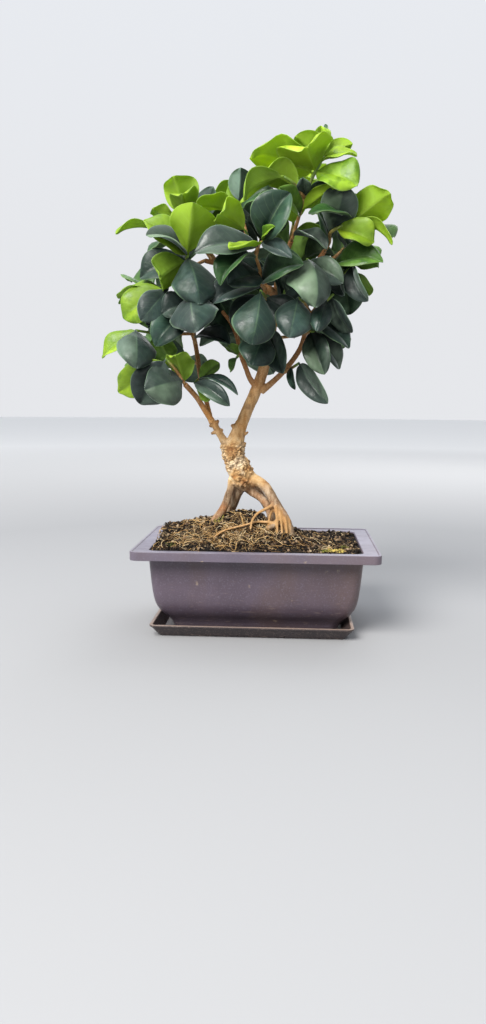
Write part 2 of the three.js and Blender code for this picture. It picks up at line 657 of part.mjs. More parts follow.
function bentLeaf(leaf, shorten, bend, turn) {
  const chord = leaf.tip.clone().sub(leaf.base);
  const way = chord.clone().normalize();
  const up = leaf.face.clone().addScaledVector(way, -leaf.face.dot(way)).normalize();
  const tip = leaf.base.clone().addScaledVector(chord, shorten).addScaledVector(up, bend);
  const newWay = tip.clone().sub(leaf.base).normalize();
  const newUp = up.clone().addScaledVector(newWay, -up.dot(newWay)).normalize();
  const side = newWay.clone().cross(newUp);
  const face = newUp.multiplyScalar(Math.cos(rad(turn))).addScaledVector(side, Math.sin(rad(turn)));
  return { ...leaf, tip, face, width: leaf.width * shorten };
}

function boxesMeet(a, b, reach) {
  return [0, 1, 2].every((k) => a.min[k] - reach < b.max[k] && b.min[k] - reach < a.max[k]);
}

function isClear(solid, others, gap) {
  const box = solid.boundingBox();
  const near = others.filter((other) => boxesMeet(box, other.box, gap));
  return near.every((other) => solid.minGap(other.solid, searchReach) >= gap);
}

const boxed = (solid) => ({ solid, box: solid.boundingBox() });

// Places one leaf, or returns null where there is no room for it.
function growLeaf(leaf, foreign, own) {
  const blade = bladeRows.slice(1);
  for (const strict of [true, false]) {
    for (const shorten of shortenTries) {
      for (const bend of bendTries) {
        for (const turn of turnTries) {
          const tried = bentLeaf(leaf, shorten, bend, turn);
          const solid = bladeSolid(tried, bladeRows);
          if (!isClear(solid, foreign, gapBetweenShoots)) continue;
          const bladeOnly = bladeSolid(tried, blade);
          if (strict && !isClear(bladeOnly, own, gapInShoot)) continue;
          return { solid, bladeOnly };
        }
      }
    }
  }
  return null;
}

function stemSolid(stem) {
  const rows = stem.map(([x, y, z], i) => [x, y, z, stemRadius * (1.15 - (0.35 * i) / (stem.length - 1))]);
  return limb(rows, 5);
}

// Builds every shoot, with all stems in place before the first leaf.
function buildShoots(wood, woodRoom, others) {
  const shoots = [];
  for (const [name, shoot] of Object.entries(frontShoots)) {
    shoots.push({ name, stems: shoot.stems, leaves: frontLeaves(shoot) });
  }
  Object.entries(backShoots).forEach(([name, shoot], index) => {
    shoots.push({ name, stems: [shoot.stem], leaves: backLeaves(shoot, index + 1) });
  });
  for (const shoot of shoots) {
    shoot.stem = Manifold.union(shoot.stems.map(stemSolid));
    shoot.placed = [boxed(shoot.stem.subtract(woodRoom))];
    shoot.blades = [];
    shoot.parts = [shoot.stem];
  }
  for (const shoot of shoots) {
    for (const leaf of shoot.leaves) {
      const foreign = [boxed(wood), ...others.map(boxed)];
      for (const other of shoots) {
        if (other !== shoot) foreign.push(...other.placed);
      }
      const grown = growLeaf(leaf, foreign, shoot.blades);
      if (!grown) continue;
      shoot.parts.push(grown.solid);
      shoot.placed.push(boxed(grown.solid));
      shoot.blades.push(boxed(grown.bladeOnly));
    }
  }
  return shoots.map((shoot) => {
    const whole = Manifold.union(shoot.parts).subtract(woodRoom);
    return [shoot.name, whole.asOriginal().simplify(mergeTolerance)];
  });
}

// Assembly

const colours = {
  plastic: 0x5d5058,
  tray: 0x4a3a36,
  soil: 0x3a2a1e,
  wood: 0x9a7448,
  leaf: 0x4c7a35,
};

function meshOf(name, solid, colour, roughness) {
  const { vertProperties, triVerts, numProp } = solid.getMesh();
  const positions = new Float32Array((vertProperties.length / numProp) * 3);
  for (let i = 0; i < positions.length / 3; i++) {
    positions.set(vertProperties.subarray(i * numProp, i * numProp + 3), i * 3);
  }
  const geometry = new THREE.BufferGeometry();
  geometry.setAttribute("position", new THREE.BufferAttribute(positions, 3));
  geometry.setIndex([...triVerts]);
  const faceted = geometry.toNonIndexed();
  faceted.computeVertexNormals();
  const mesh = new THREE.Mesh(faceted, new THREE.MeshStandardMaterial({ color: colour, roughness }));
  mesh.name = name;
  return mesh;
}

const bonsai = new THREE.Group();
bonsai.name = "japanese_privet_bonsai";

const pot = buildPot();
const tray = buildTray();
const wood = buildWood(0);
const woodRoom = buildWood(clearance);
const soil = buildSoil(woodRoom);

bonsai.add(meshOf("drip_tray", tray, colours.tray, 0.5));
bonsai.add(meshOf("pot", pot, colours.plastic, 0.55));
bonsai.add(meshOf("soil", soil, colours.soil, 1));
bonsai.add(meshOf("trunk", wood, colours.wood, 0.9));
for (const [name, solid] of buildShoots(wood, woodRoom, [pot, tray, soil])) {
  bonsai.add(meshOf(name, solid, colours.leaf, 0.45));
}

export default bonsai;
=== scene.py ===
# A japanese privet bonsai in its pot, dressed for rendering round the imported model.
# Shapes are worked out in millimetres, Z up, and turned into metres when a piece is made.
import itertools
import math

import bpy
import numpy as np
from mathutils import Matrix, Vector, noise
from mathutils.bvhtree import BVHTree
from mathutils.kdtree import KDTree


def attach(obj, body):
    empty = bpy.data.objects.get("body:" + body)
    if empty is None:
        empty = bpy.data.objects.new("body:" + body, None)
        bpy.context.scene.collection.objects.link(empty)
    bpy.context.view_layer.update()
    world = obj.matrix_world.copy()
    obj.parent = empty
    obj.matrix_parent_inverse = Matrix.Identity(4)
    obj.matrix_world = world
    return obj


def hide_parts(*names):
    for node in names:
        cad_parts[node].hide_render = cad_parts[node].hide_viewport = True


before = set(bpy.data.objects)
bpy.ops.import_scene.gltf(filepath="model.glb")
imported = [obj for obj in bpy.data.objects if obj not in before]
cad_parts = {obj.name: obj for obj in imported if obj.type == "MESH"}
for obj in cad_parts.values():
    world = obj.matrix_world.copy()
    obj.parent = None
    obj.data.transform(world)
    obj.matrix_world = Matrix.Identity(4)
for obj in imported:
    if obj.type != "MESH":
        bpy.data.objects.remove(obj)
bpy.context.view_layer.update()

MM = 0.001
SEED = 41
# Without a seed, noise_vector starts from the clock and the bark differs from run to run
noise.seed_set(SEED)

# Camera, fitted to the corners of pot and tray
CAMERA_PLACE = (29.4, -717.9, 189.4)
CAMERA_YAW = 3.42
CAMERA_PITCH = 7.53
CAMERA_ROLL = 0.41
CAMERA_LENS = 29.4

# Sizes shared with the solids
POT_WIDTH = 200
POT_DEPTH = 145.3
POT_RIM_TOP = 70.6
TRAY_WIDTH = 165.2
TRAY_DEPTH = 131
TRAY_HEIGHT = 10.1
TRAY_FLOOR = 2.2
TRAY_SHIFT = (-2.5, -2.5, 0)
TRAY_WALL = 1.6
CLEARANCE = 0.3
STEM_RADIUS = 1.3
SOLID_BLADE_THICKNESS = 0.8
SOLID_PETIOLE_HALF = 0.9

# Veins, the same in the leaves' colour and their shape
VEIN_PAIRS = 7
VEIN_SLANT = 1.9


# Meshes

def linked(name, data):
    """A new object in the scene, with this data."""
    made = bpy.data.objects.new(name, data)
    bpy.context.scene.collection.objects.link(made)
    return made


def make_piece(name, points, faces, materials, values=None, material_of=None):
    """A smooth mesh piece that rides on the only body. `values` names sets of three numbers for each point."""
    mesh = bpy.data.meshes.new(name)
    mesh.from_pydata((np.asarray(points) * MM).tolist(), [], faces)
    for material in materials:
        mesh.materials.append(material)
    for key, numbers in (values or {}).items():
        made = mesh.attributes.new(key, "FLOAT_VECTOR", "POINT")
        made.data.foreach_set("vector", numbers.astype(np.float32).ravel())
    if material_of is not None:
        mesh.polygons.foreach_set("material_index", material_of)
    mesh.shade_smooth()
    piece = linked(name, mesh)
    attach(piece, "root")
    return piece


class Builder:
    """Collects points, faces and named numbers for each point, part by part, until they become one piece."""

    def __init__(self):
        self.points = []
        self.faces = []
        self.values = {}
        self.material_of = []
        self.count = 0

    def add(self, points, faces, material=0, **values):
        self.points.append(np.asarray(points, dtype=float))
        self.faces.extend([tuple(int(i) + self.count for i in face) for face in faces])
        for key, numbers in values.items():
            rows = np.broadcast_to(numbers, (len(points), 3)).astype(float)
            self.values.setdefault(key, []).append(rows)
        self.material_of.extend([material] * len(faces))
        self.count += len(points)

    def add_tube(self, rows, sides, steps, **values):
        points, faces, _ = tube(rows, sides, steps)
        self.add(points, faces, **values)

    def piece(self, name, slot, materials):
        points = np.concatenate(self.points)
        values = {key: np.concatenate(parts) for key, parts in self.values.items()}
        return make_piece(name, points, self.faces, materials, values, self.material_of)


def ring_faces(rings, sides):
    """Faces between rings that follow one another, each counted the same way round, and at both ends."""
    faces = []
    for i in range(rings - 1):
        for j in range(sides):
            a = i * sides + j
            b = i * sides + (j + 1) % sides
            faces.append((a, b, b + sides, a + sides))
    faces.append(tuple(reversed(range(sides))))
    faces.append(tuple(range((rings - 1) * sides, rings * sides)))
    return faces


def smooth_rows(rows, steps):
    """More rows on a smooth curve through the given ones."""
    rows = np.asarray(rows, dtype=float)
    ends = np.vstack([2 * rows[0] - rows[1], rows, 2 * rows[-1] - rows[-2]])
    made = []
    for i in range(1, len(ends) - 2):
        p0, p1, p2, p3 = ends[i - 1], ends[i], ends[i + 1], ends[i + 2]
        for t in np.arange(steps) / steps:
            made.append(
                0.5 * (2 * p1 + (p2 - p0) * t + (2 * p0 - 5 * p1 + 4 * p2 - p3) * t ** 2
                       + (3 * p1 - p0 - 3 * p2 + p3) * t ** 3)
            )
    made.append(rows[-1])
    return np.array(made)


def tube(rows, sides, steps):
    """A round tube through rows of x, y, z and radius: its points, its faces and the share along it."""
    rows = smooth_rows(rows, steps)
    middles = rows[:, :3]
    along = np.gradient(middles, axis=0)
    along /= np.linalg.norm(along, axis=1)[:, None]
    across = np.array([0.31, 0.87, 0.21])
    points = []
    angles = 2 * math.pi * np.arange(sides) / sides
    for middle, way, radius in zip(middles, along, rows[:, 3]):
        across = across - way * across.dot(way)
        across /= np.linalg.norm(across)
        other = np.cross(way, across)
        ring = np.outer(np.cos(angles), across) + np.outer(np.sin(angles), other)
        points.append(middle + ring * radius)
    share = np.repeat(np.linspace(0, 1, len(rows)), sides)
    return np.concatenate(points), ring_faces(len(rows), sides), share


def turned(first, second, angle):
    """The first way, turned towards the second."""
    return first * math.cos(angle) + second * math.sin(angle)


def smoothstep(low, high, value):
    """A smooth rise from 0 to 1 as the value goes from low to high."""
    t = np.clip((np.asarray(value, dtype=float) - low) / (high - low), 0, 1)
    return t * t * (3 - 2 * t)


# Materials

# Colours of each ramp, with the place of each
ROOT_STOPS = [(0.3, (0.09, 0.050, 0.026)), (0.5, (0.28, 0.180, 0.105)), (0.7, (0.58, 0.45, 0.31))]
LOWER_BARK_STOPS = [(0.34, (0.36, 0.16, 0.045)), (0.48, (0.62, 0.39, 0.17)), (0.64, (0.84, 0.68, 0.45))]
UPPER_BARK_STOPS = [(0.3, (0.23, 0.118, 0.045)), (0.5, (0.49, 0.285, 0.120)), (0.7, (0.70, 0.46, 0.24))]
GROUND_STOPS = [(0.3, (0.003, 0.003, 0.003)), (0.62, (0.014, 0.010, 0.008)), (0.8, (0.06, 0.04, 0.025))]
GREEN_STEM_STOPS = [(0.3, (0.09, 0.17, 0.025)), (0.7, (0.20, 0.32, 0.05))]
BROWN_STEM_STOPS = [(0.3, (0.17, 0.075, 0.022)), (0.55, (0.36, 0.19, 0.06)), (0.75, (0.55, 0.38, 0.16))]
LEAF_STOPS = [
    (0.0, (0.0085, 0.029, 0.021)),
    (0.25, (0.013, 0.054, 0.022)),
    (0.45, (0.040, 0.140, 0.018)),
    (0.7, (0.190, 0.370, 0.017)),
    (1.0, (0.430, 0.620, 0.032)),
]
UNDERSIDE_STOPS = [
    (0.0, (0.150, 0.235, 0.180)),
    (0.3, (0.185, 0.310, 0.185)),
    (0.6, (0.200, 0.375, 0.040)),
    (1.0, (0.370, 0.550, 0.035)),
]
CRUMB_STOPS = [
    (0.0, (0.003, 0.003, 0.003)),
    (0.45, (0.014, 0.010, 0.008)),
    (0.68, (0.095, 0.062, 0.042)),
    (0.88, (0.33, 0.225, 0.140)),
    (1.0, (0.62, 0.47, 0.29)),
]
FIBRE_STOPS = [
    (0.0, (0.040, 0.020, 0.009)),
    (0.3, (0.24, 0.115, 0.033)),
    (0.6, (0.95, 0.60, 0.235)),
    (1.0, (1.0, 0.86, 0.56)),
]
MOSS_STOPS = [(0.0, (0.018, 0.034, 0.008)), (0.5, (0.160, 0.190, 0.035)), (1.0, (0.82, 0.62, 0.17))]
SKY_STOPS = [(0.0, (0.70, 0.71, 0.735)), (0.12, (0.70, 0.71, 0.735)), (1.0, (0.74, 0.78, 0.84))]


class Nodes:
    """A node tree under construction."""

    def __init__(self, tree):
        self.tree = tree
        self.tree.nodes.clear()

    def node(self, kind, sockets=None, **settings):
        made = self.tree.nodes.new("ShaderNode" + kind)
        for key, value in settings.items():
            setattr(made, key, value)
        for key, value in (sockets or {}).items():
            if isinstance(value, bpy.types.NodeSocket):
                self.tree.links.new(value, made.inputs[key])
            else:
                made.inputs[key].default_value = value
        return made

    def math(self, operation, first, second=0.0):
        return self.node("Math", {0: first, 1: second}, operation=operation).outputs[0]

    def times(self, first, second):
        return self.math("MULTIPLY", first, second)

    def between(self, value, low, high, to_low=0.0, to_high=1.0):
        sockets = {"Value": value, "From Min": low, "From Max": high, "To Min": to_low, "To Max": to_high}
        return self.node("MapRange", sockets).outputs["Result"]

    def split(self, vector):
        """The x, y and z of a vector."""
        return self.node("SeparateXYZ", {0: vector}).outputs

    def ramp(self, factor, stops):
        made = self.node("ValToRGB", {"Fac": factor})
        points = made.color_ramp.elements
        for index, (place, colour) in enumerate(stops):
            point = points[index] if index < 2 else points.new(place)
            point.position = place
            point.color = (*colour, 1)
        return made.outputs["Color"]


class Paint(Nodes):
    """A node material under construction."""

    def __init__(self, name):
        self.material = bpy.data.materials.new(name)
        self.material.use_nodes = True
        super().__init__(self.material.node_tree)

    def place(self):
        return self.node("TexCoord").outputs["Object"]

    def stretched(self, x, y, z):
        return self.node("Mapping", {"Vector": self.place(), "Scale": (x, y, z)}).outputs["Vector"]

    def noise(self, scale, detail, vector=None):
        sockets = {"Vector": vector or self.place(), "Scale": scale, "Detail": detail}
        return self.node("TexNoise", sockets).outputs["Fac"]

    def cells(self, scale):
        return self.node("TexVoronoi", {"Vector": self.place(), "Scale": scale}).outputs["Distance"]

    def mix(self, factor, first, second, blend="MIX"):
        made = self.node("Mix", {0: factor}, data_type="RGBA", blend_type=blend)
        for index, value in ((6, first), (7, second)):
            if isinstance(value, bpy.types.NodeSocket):
                self.tree.links.new(value, made.inputs[index])
            else:
                made.inputs[index].default_value = (*value, 1)
        return made.outputs[2]

    def tint(self, colour, other, value, low, high, share=1.0):
        """The colour, turned into another one by up to this share as a value goes from low to high."""
        return self.mix(self.between(value, low, high, 0, share), colour, other)

    def tone(self, colour, factors):
        return self.mix(1.0, colour, factors, "MULTIPLY")

    def height(self):
        return self.split(self.place())[2]

    def normal_up(self):
        """How far the surface looks upward, from -1 to 1."""
        return self.split(self.node("NewGeometry").outputs["Normal"])[2]

    def attribute(self, name):
        return self.split(self.node("Attribute", attribute_name=name).outputs["Vector"])

    def bump(self, height, distance, strength, normal=None):
        sockets = {"Height": height, "Distance": distance * MM, "Strength": strength}
        if normal is not None:
            sockets["Normal"] = normal
        return self.node("Bump", sockets).outputs["Normal"]

    def surface(self, colour, roughness, normal=None, shine=0.5, more=None):
        """The usual shader. Shine is the level of its reflection, and `more` holds further sockets."""
        sockets = {"Base Color": colour, "Roughness": roughness, "Specular IOR Level": shine, **(more or {})}
        if normal is not None:
            sockets["Normal"] = normal
        return self.node("BsdfPrincipled", sockets).outputs[0]

    def finish(self, shader):
        self.node("OutputMaterial", {"Surface": shader})
        return self.material


def plastic_material(name, body, warm, dust_and_light, roughness, pale_above):
    """Moulded plastic: mottled, warmer where soil has stained it, scuffed lower down, with specks of dirt.
    Above a height it is painted paler, as painted light on its rim, and its upward faces there are paler
    still, as dust and a painted reflection of the sky."""
    paint = Paint(name)
    mottle = paint.noise(38, 5)
    fine = paint.noise(800, 3)
    stain = paint.noise(16, 4, paint.stretched(1, 1, 0.5))
    colour = paint.tint(body, tuple(c * 1.28 for c in body), mottle, 0.35, 0.7)
    colour = paint.tint(colour, warm, stain, 0.5, 0.72, 0.7)
    colour = paint.tint(colour, dust_and_light, fine, 0.54, 0.74, 0.3)
    height = paint.height()
    # Painted light: above the height the plastic is painted paler, where its rim catches the light.
    colour = paint.tint(colour, dust_and_light, height, (pale_above - 0.6) * MM, pale_above * MM, 0.2)
    # Its upward faces up there are paler still: settled dust, and partly a painted reflection of the sky.
    upward = paint.between(paint.normal_up(), 0.75, 0.97)
    upward = paint.times(upward, paint.between(height, (pale_above - 1.5) * MM, pale_above * MM))
    settled = paint.times(upward, paint.between(mottle, 0.3, 0.62, 0.35, 0.75))
    colour = paint.mix(settled, colour, dust_and_light)
    scuffs = paint.between(paint.noise(500, 5, paint.stretched(0.22, 0.22, 1)), 0.60, 0.74)
    low = paint.between(height, pale_above * 0.62 * MM, pale_above * 0.2 * MM, 0.05, 0.4)
    colour = paint.mix(paint.times(scuffs, low), colour, (0.42, 0.31, 0.25))
    ragged = paint.between(paint.noise(700, 3), 0.3, 0.7, -0.07, 0.07)
    specks = paint.between(paint.math("ADD", paint.cells(80), ragged), 0.13, 0.05)
    specks = paint.times(specks, paint.between(paint.noise(30, 2), 0.53, 0.6, 0, 0.8))
    colour = paint.mix(specks, colour, (0.38, 0.29, 0.21))
    normal = paint.bump(paint.noise(900, 4), 0.12, 0.6)
    normal = paint.bump(mottle, 0.5, 0.35, normal)
    rough = paint.between(paint.noise(120, 4), 0.3, 0.7, roughness - 0.07, roughness + 0.1)
    return paint.finish(paint.surface(colour, rough, normal))


def bark_material():
    """Bark from the numbers of each point: height share, depth of the crevice, and how thin the wood is,
    which is below 0 for thin roots. The wood inside the crown is warmer and darker."""
    paint = Paint("bark")
    zone, crevice, thin = paint.attribute("bark")
    grain = paint.noise(260, 6, paint.stretched(1, 1, 0.22))
    patches = paint.noise(85, 6)
    blotch = paint.noise(34, 4)
    fine = paint.noise(1000, 5)
    root = paint.ramp(grain, ROOT_STOPS)
    lower = paint.ramp(patches, LOWER_BARK_STOPS)
    upper = paint.ramp(grain, UPPER_BARK_STOPS)
    upper = paint.tint(upper, (0.58, 0.26, 0.062), blotch, 0.52, 0.66, 0.8)
    root = paint.tint(root, (0.42, 0.16, 0.045), blotch, 0.52, 0.66, 0.6)
    colour = paint.tint(root, lower, zone, 0.0, 0.5)
    colour = paint.tint(colour, upper, zone, 0.5, 1.0)
    colour = paint.tint(colour, (0.33, 0.145, 0.045), paint.height(), 195 * MM, 235 * MM, 0.6)
    colour = paint.tint(colour, (0.27, 0.115, 0.040), thin, 0.2, 1.0, 0.75)
    colour = paint.tint(colour, (0.66, 0.37, 0.13), thin, -0.2, -1.0, 0.6)
    colour = paint.tint(colour, (0.78, 0.62, 0.40), fine, 0.56, 0.72, 0.38)
    colour = paint.tint(colour, (0.15, 0.07, 0.025), fine, 0.42, 0.30, 0.5)
    colour = paint.mix(paint.times(crevice, 0.8), colour, (0.15, 0.060, 0.020))
    normal = paint.bump(grain, 0.5, 0.9)
    normal = paint.bump(fine, 0.28, 1.0, normal)
    return paint.finish(paint.surface(colour, 0.8, normal, 0.3))


def ground_material():
    paint = Paint("ground")
    clods = paint.noise(260, 6)
    damp = paint.noise(40, 3)
    colour = paint.ramp(clods, GROUND_STOPS)
    colour = paint.tint(colour, (0.008, 0.008, 0.007), damp, 0.4, 0.7, 0.5)
    normal = paint.bump(paint.noise(700, 6), 0.8, 1.0)
    return paint.finish(paint.surface(colour, 0.92, normal, 0.12))


def litter_material(name, stops, roughness=0.85):
    """Loose bits of one kind. The numbers of each point are its bit's shade and how dry the bit is."""
    paint = Paint(name)
    shade, dry, _ = paint.attribute("bit")
    colour = paint.ramp(shade, stops)
    grain = paint.noise(1200, 3)
    colour = paint.mix(paint.between(grain, 0.35, 0.7, 0.35, 0), colour, (0.02, 0.014, 0.008))
    colour = paint.mix(paint.times(dry, 0.35), colour, (0.30, 0.22, 0.13))
    normal = paint.bump(grain, 0.2, 0.8)
    return paint.finish(paint.surface(colour, roughness, normal, 0.15))


def vein_lines(paint, along, aside):
    """Slanting side veins, which end before the margin, and the midrib, which ends before the tip."""
    slant = paint.math("SUBTRACT", paint.times(along, VEIN_PAIRS), paint.times(aside, VEIN_SLANT))
    line = paint.math("ABSOLUTE", paint.math("SUBTRACT", paint.math("FRACT", slant), 0.5))
    veins = paint.times(paint.between(line, 0.07, 0.0), paint.between(aside, 0.95, 0.5))
    midrib = paint.times(paint.between(aside, 0.05, 0.012), paint.between(along, 1.0, 0.6))
    return veins, midrib


def leaf_material():
    """Numbers of each point: place along the blade, signed place across it, how crowded it is there, which is
    painted as shade; age from 0 old to 1 young, 1 on the underside, and a draw. An age below 0 is an old leaf
    painted pale, as a painted reflection of the sky.
    One half of a leaf, picked by its draw, is painted darker than the other, as painted shade."""
    paint = Paint("leaf")
    along, across, crowd = paint.attribute("leaf")
    age, under, chance = paint.attribute("kind")
    cloud = paint.noise(46, 5)
    patchy = paint.noise(110, 5)
    fine = paint.noise(600, 4)
    upper = paint.ramp(age, LEAF_STOPS)
    lower = paint.ramp(age, UNDERSIDE_STOPS)
    lighter = paint.tone(upper, (1.95, 1.7, 1.75))
    deeper = paint.tone(upper, (0.42, 0.55, 0.75))
    colour = paint.tint(upper, lighter, cloud, 0.40, 0.66)
    colour = paint.tint(colour, deeper, patchy, 0.50, 0.32, 0.8)
    # Old leaves take pale bluish patches, partly their waxy bloom and partly a painted reflection of the sky.
    bloom_and_reflection = paint.times(paint.between(cloud, 0.42, 0.62), paint.between(age, 0.5, 0.05, 0, 0.42))
    colour = paint.mix(bloom_and_reflection, colour, (0.095, 0.155, 0.150))
    # Painted reflection: an old leaf with an age below 0 is painted pale on its upper side, as if it mirrored
    # the bright sky.
    painted_reflection = paint.times(paint.between(age, 0, -1), paint.between(cloud, 0.3, 0.6, 0.35, 1.0))
    colour = paint.mix(painted_reflection, colour, (0.260, 0.370, 0.205))
    colour = paint.tint(colour, deeper, chance, 0.0, 1.0, 0.35)
    colour = paint.mix(under, colour, lower)
    # Painted shade: the blade is painted darker towards its stem, where the leaves above shade it.
    shaded_foot = paint.times(paint.between(along, 0.55, 0.05), paint.between(age, 0.2, 0.8, 0.5, 0.25))
    colour = paint.mix(shaded_foot, colour, deeper)
    # Painted shade: one half of the blade, picked by the leaf's draw, is painted darker, a young leaf less so.
    side = paint.times(across, paint.between(chance, 0.45, 0.55, -1, 1))
    half = paint.times(paint.between(side, -0.05, 0.08), paint.between(age, 0.3, 0.8, 0.75, 0.3))
    colour = paint.mix(half, colour, deeper)
    aside = paint.math("ABSOLUTE", across)
    veins, midrib = vein_lines(paint, along, aside)
    pale = paint.mix(age, (0.20, 0.36, 0.19), (0.44, 0.64, 0.12))
    colour = paint.mix(paint.times(veins, paint.between(age, 0.0, 1.0, 0.07, 0.2)), colour, pale)
    colour = paint.mix(paint.times(midrib, paint.between(age, 0.0, 1.0, 0.15, 0.4)), colour, pale)
    colour = paint.tint(colour, pale, aside, 0.935, 0.985, 0.5)
    # Painted shade: a leaf is painted near black where other leaves block its light, a young leaf less so.
    painted_shade = paint.times(paint.between(crowd, 0.22, 0.88, 0, 0.92), paint.between(age, 0.3, 1.0, 1.0, 0.22))
    colour = paint.mix(painted_shade, colour, (0.002, 0.006, 0.005))
    normal = paint.bump(veins, 0.12, 0.3)
    normal = paint.bump(paint.noise(170, 4), 0.9, 0.55, normal)
    normal = paint.bump(fine, 0.08, 0.7, normal)
    rough = paint.math("ADD", paint.between(patchy, 0.35, 0.65, 0.34, 0.62), paint.times(under, 0.2))
    shine = paint.between(crowd, 0.3, 0.9, 0.6, 0.12)
    sheen = paint.times(paint.between(chance, 0.2, 1.0, 0.05, 0.6), paint.between(age, 0.3, 0.7, 1, 0.1))
    velvet = {"Sheen Weight": sheen, "Sheen Roughness": 0.45, "Sheen Tint": (0.80, 0.92, 0.88, 1)}
    solid = paint.surface(colour, rough, normal, shine, velvet)
    glow = paint.tone(colour, (1.45, 1.3, 0.45))
    through = paint.node("BsdfTranslucent", {"Color": glow}).outputs[0]
    share = paint.between(age, 0.1, 1.0, 0.03, 0.44)
    return paint.finish(paint.node("MixShader", {0: share, 1: solid, 2: through}).outputs[0])


def stem_material():
    """Green or brown by how woody each point is, which is its second number."""
    paint = Paint("stem")
    _, woody, _ = paint.attribute("leaf")
    grain = paint.noise(500, 5, paint.stretched(1, 1, 0.4))
    green = paint.ramp(grain, GREEN_STEM_STOPS)
    brown = paint.ramp(grain, BROWN_STEM_STOPS)
    colour = paint.mix(woody, green, brown)
    normal = paint.bump(grain, 0.25, 0.8)
    return paint.finish(paint.surface(colour, 0.55, normal))


# Camera, lights and floor

def make_camera():
    yaw, pitch, roll = (math.radians(a) for a in (CAMERA_YAW, CAMERA_PITCH, CAMERA_ROLL))
    forward = Vector((-math.sin(yaw) * math.cos(pitch), math.cos(yaw) * math.cos(pitch), -math.sin(pitch)))
    right = forward.cross(Vector((0, 0, 1))).normalized()
    up = right.cross(forward)
    data = bpy.data.cameras.new("camera")
    data.lens = CAMERA_LENS
    data.clip_start = 0.01
    data.clip_end = 50
    camera = linked("camera", data)
    turn = Matrix((turned(right, up, roll), turned(up, -right, roll), -forward)).transposed()
    camera.matrix_world = Matrix.Translation(Vector(CAMERA_PLACE) * MM) @ turn.to_4x4()
    bpy.context.scene.camera = camera


# Each light: name, place and size in metres, power and colour
LIGHTS = [
    ("key", (-0.85, -1.45, 1.55), 1.5, 84, (1.0, 0.98, 0.95)),
    ("fill", (1.6, -1.2, 0.9), 1.6, 2, (0.92, 0.96, 1.0)),
    ("back", (0.5, 1.5, 1.3), 1.2, 10, (1.0, 1.0, 1.0)),
]
LIGHT_TARGET = Vector((0, 0, 0.2))


def make_light(name, place, size, power, colour):
    data = bpy.data.lights.new(name, "AREA")
    data.shape = "DISK"
    data.size = size
    data.energy = power
    data.color = colour
    light = linked(name, data)
    light.location = place
    light.rotation_euler = (LIGHT_TARGET - Vector(place)).to_track_quat("-Z", "Y").to_euler()


# The light from the front is dimmer than from the back: the way's Y share from and to, and the strength
# from and to
FRONT_TO_BACK = (-0.35, 0.6, 0.26, 1.13)
# The light gets stronger towards the zenith: the way's Z share from and to, and the strength from and to
LEVEL_TO_ABOVE = (0.5, 1.0, 1.0, 2.2)


def make_studio():
    for light in LIGHTS:
        make_light(*light)
    world = bpy.data.worlds.new("studio")
    world.use_nodes = True
    studio = Nodes(world.node_tree)
    _, way_y, way_z = studio.split(studio.node("TexCoord").outputs["Generated"])
    depth = studio.between(way_y, *FRONT_TO_BACK)
    strength = studio.times(depth, studio.between(way_z, *LEVEL_TO_ABOVE))
    sky = studio.ramp(way_z, SKY_STOPS)
    background = studio.node("Background", {"Color": sky, "Strength": strength}).outputs[0]
    studio.node("OutputWorld", {"Surface": background})
    bpy.context.scene.world = world
    bpy.context.scene.view_settings.view_transform = "Standard"


def make_floor():
    """A pale round floor, wide enough to fill every view. It is lighter far out, where less light falls."""
    sides = 96
    radius = 9.0
    near = 0.6
    far = 2.9
    paint = Paint("floor")
    away = paint.node("VectorMath", {0: paint.place()}, operation="LENGTH").outputs["Value"]
    colour = paint.tint((0.37, 0.373, 0.382), (0.96, 0.955, 0.945), away, near, far)
    mesh = bpy.data.meshes.new("floor")
    angles = [2 * math.pi * k / sides for k in range(sides)]
    rim = [(radius * math.cos(a), radius * math.sin(a), 0) for a in angles]
    mesh.from_pydata(rim, [], [tuple(range(sides))])
    mesh.materials.append(paint.finish(paint.surface(colour, 0.95, shine=0.1)))
    floor = linked("floor", mesh)


# Pot and tray

POT_HALF = POT_WIDTH / 2
POT_NARROWER = (POT_WIDTH - POT_DEPTH) / 2
RIM_UNDERSIDE = 63.5
# Each row is half width, height and corner radius.
POT_OUTSIDE = [
    (68.5, TRAY_FLOOR, 8),
    (70.5, TRAY_FLOOR + 4.5, 9),
    (73.4, TRAY_FLOOR + 8.6, 9.5),
    (77.3, 15, 9.5),
    (80.3, 19.4, 9),
    (82.9, 26, 8.5),
    (84.6, 36, 8),
    (85.9, 49, 8),
    (87.4, 67.6, 8),
]
POT_RIM = [
    (POT_HALF - 1.8, 67.6, 6),
    (POT_HALF - 1.8, RIM_UNDERSIDE, 6),
    (POT_HALF, RIM_UNDERSIDE, 6.5),
    (POT_HALF, POT_RIM_TOP, 6.5),
    (POT_HALF - 1.6, POT_RIM_TOP, 6),
    (POT_HALF - 2.2, POT_RIM_TOP - 0.8, 5.5),
    (POT_HALF - 13, POT_RIM_TOP - 0.8, 7),
    (POT_HALF - 13.7, POT_RIM_TOP - 1.8, 7),
]
POT_INSIDE = [
    (84.9, 62, 7),
    (83.8, 49, 7),
    (82.5, 36, 7),
    (80.8, 26.5, 7.5),
    (78, 20, 8),
    (74.4, 14.8, 8.5),
    (71, 11.4, 8.5),
]
POT_INNER_FLOOR = (68, 6.4, 7)


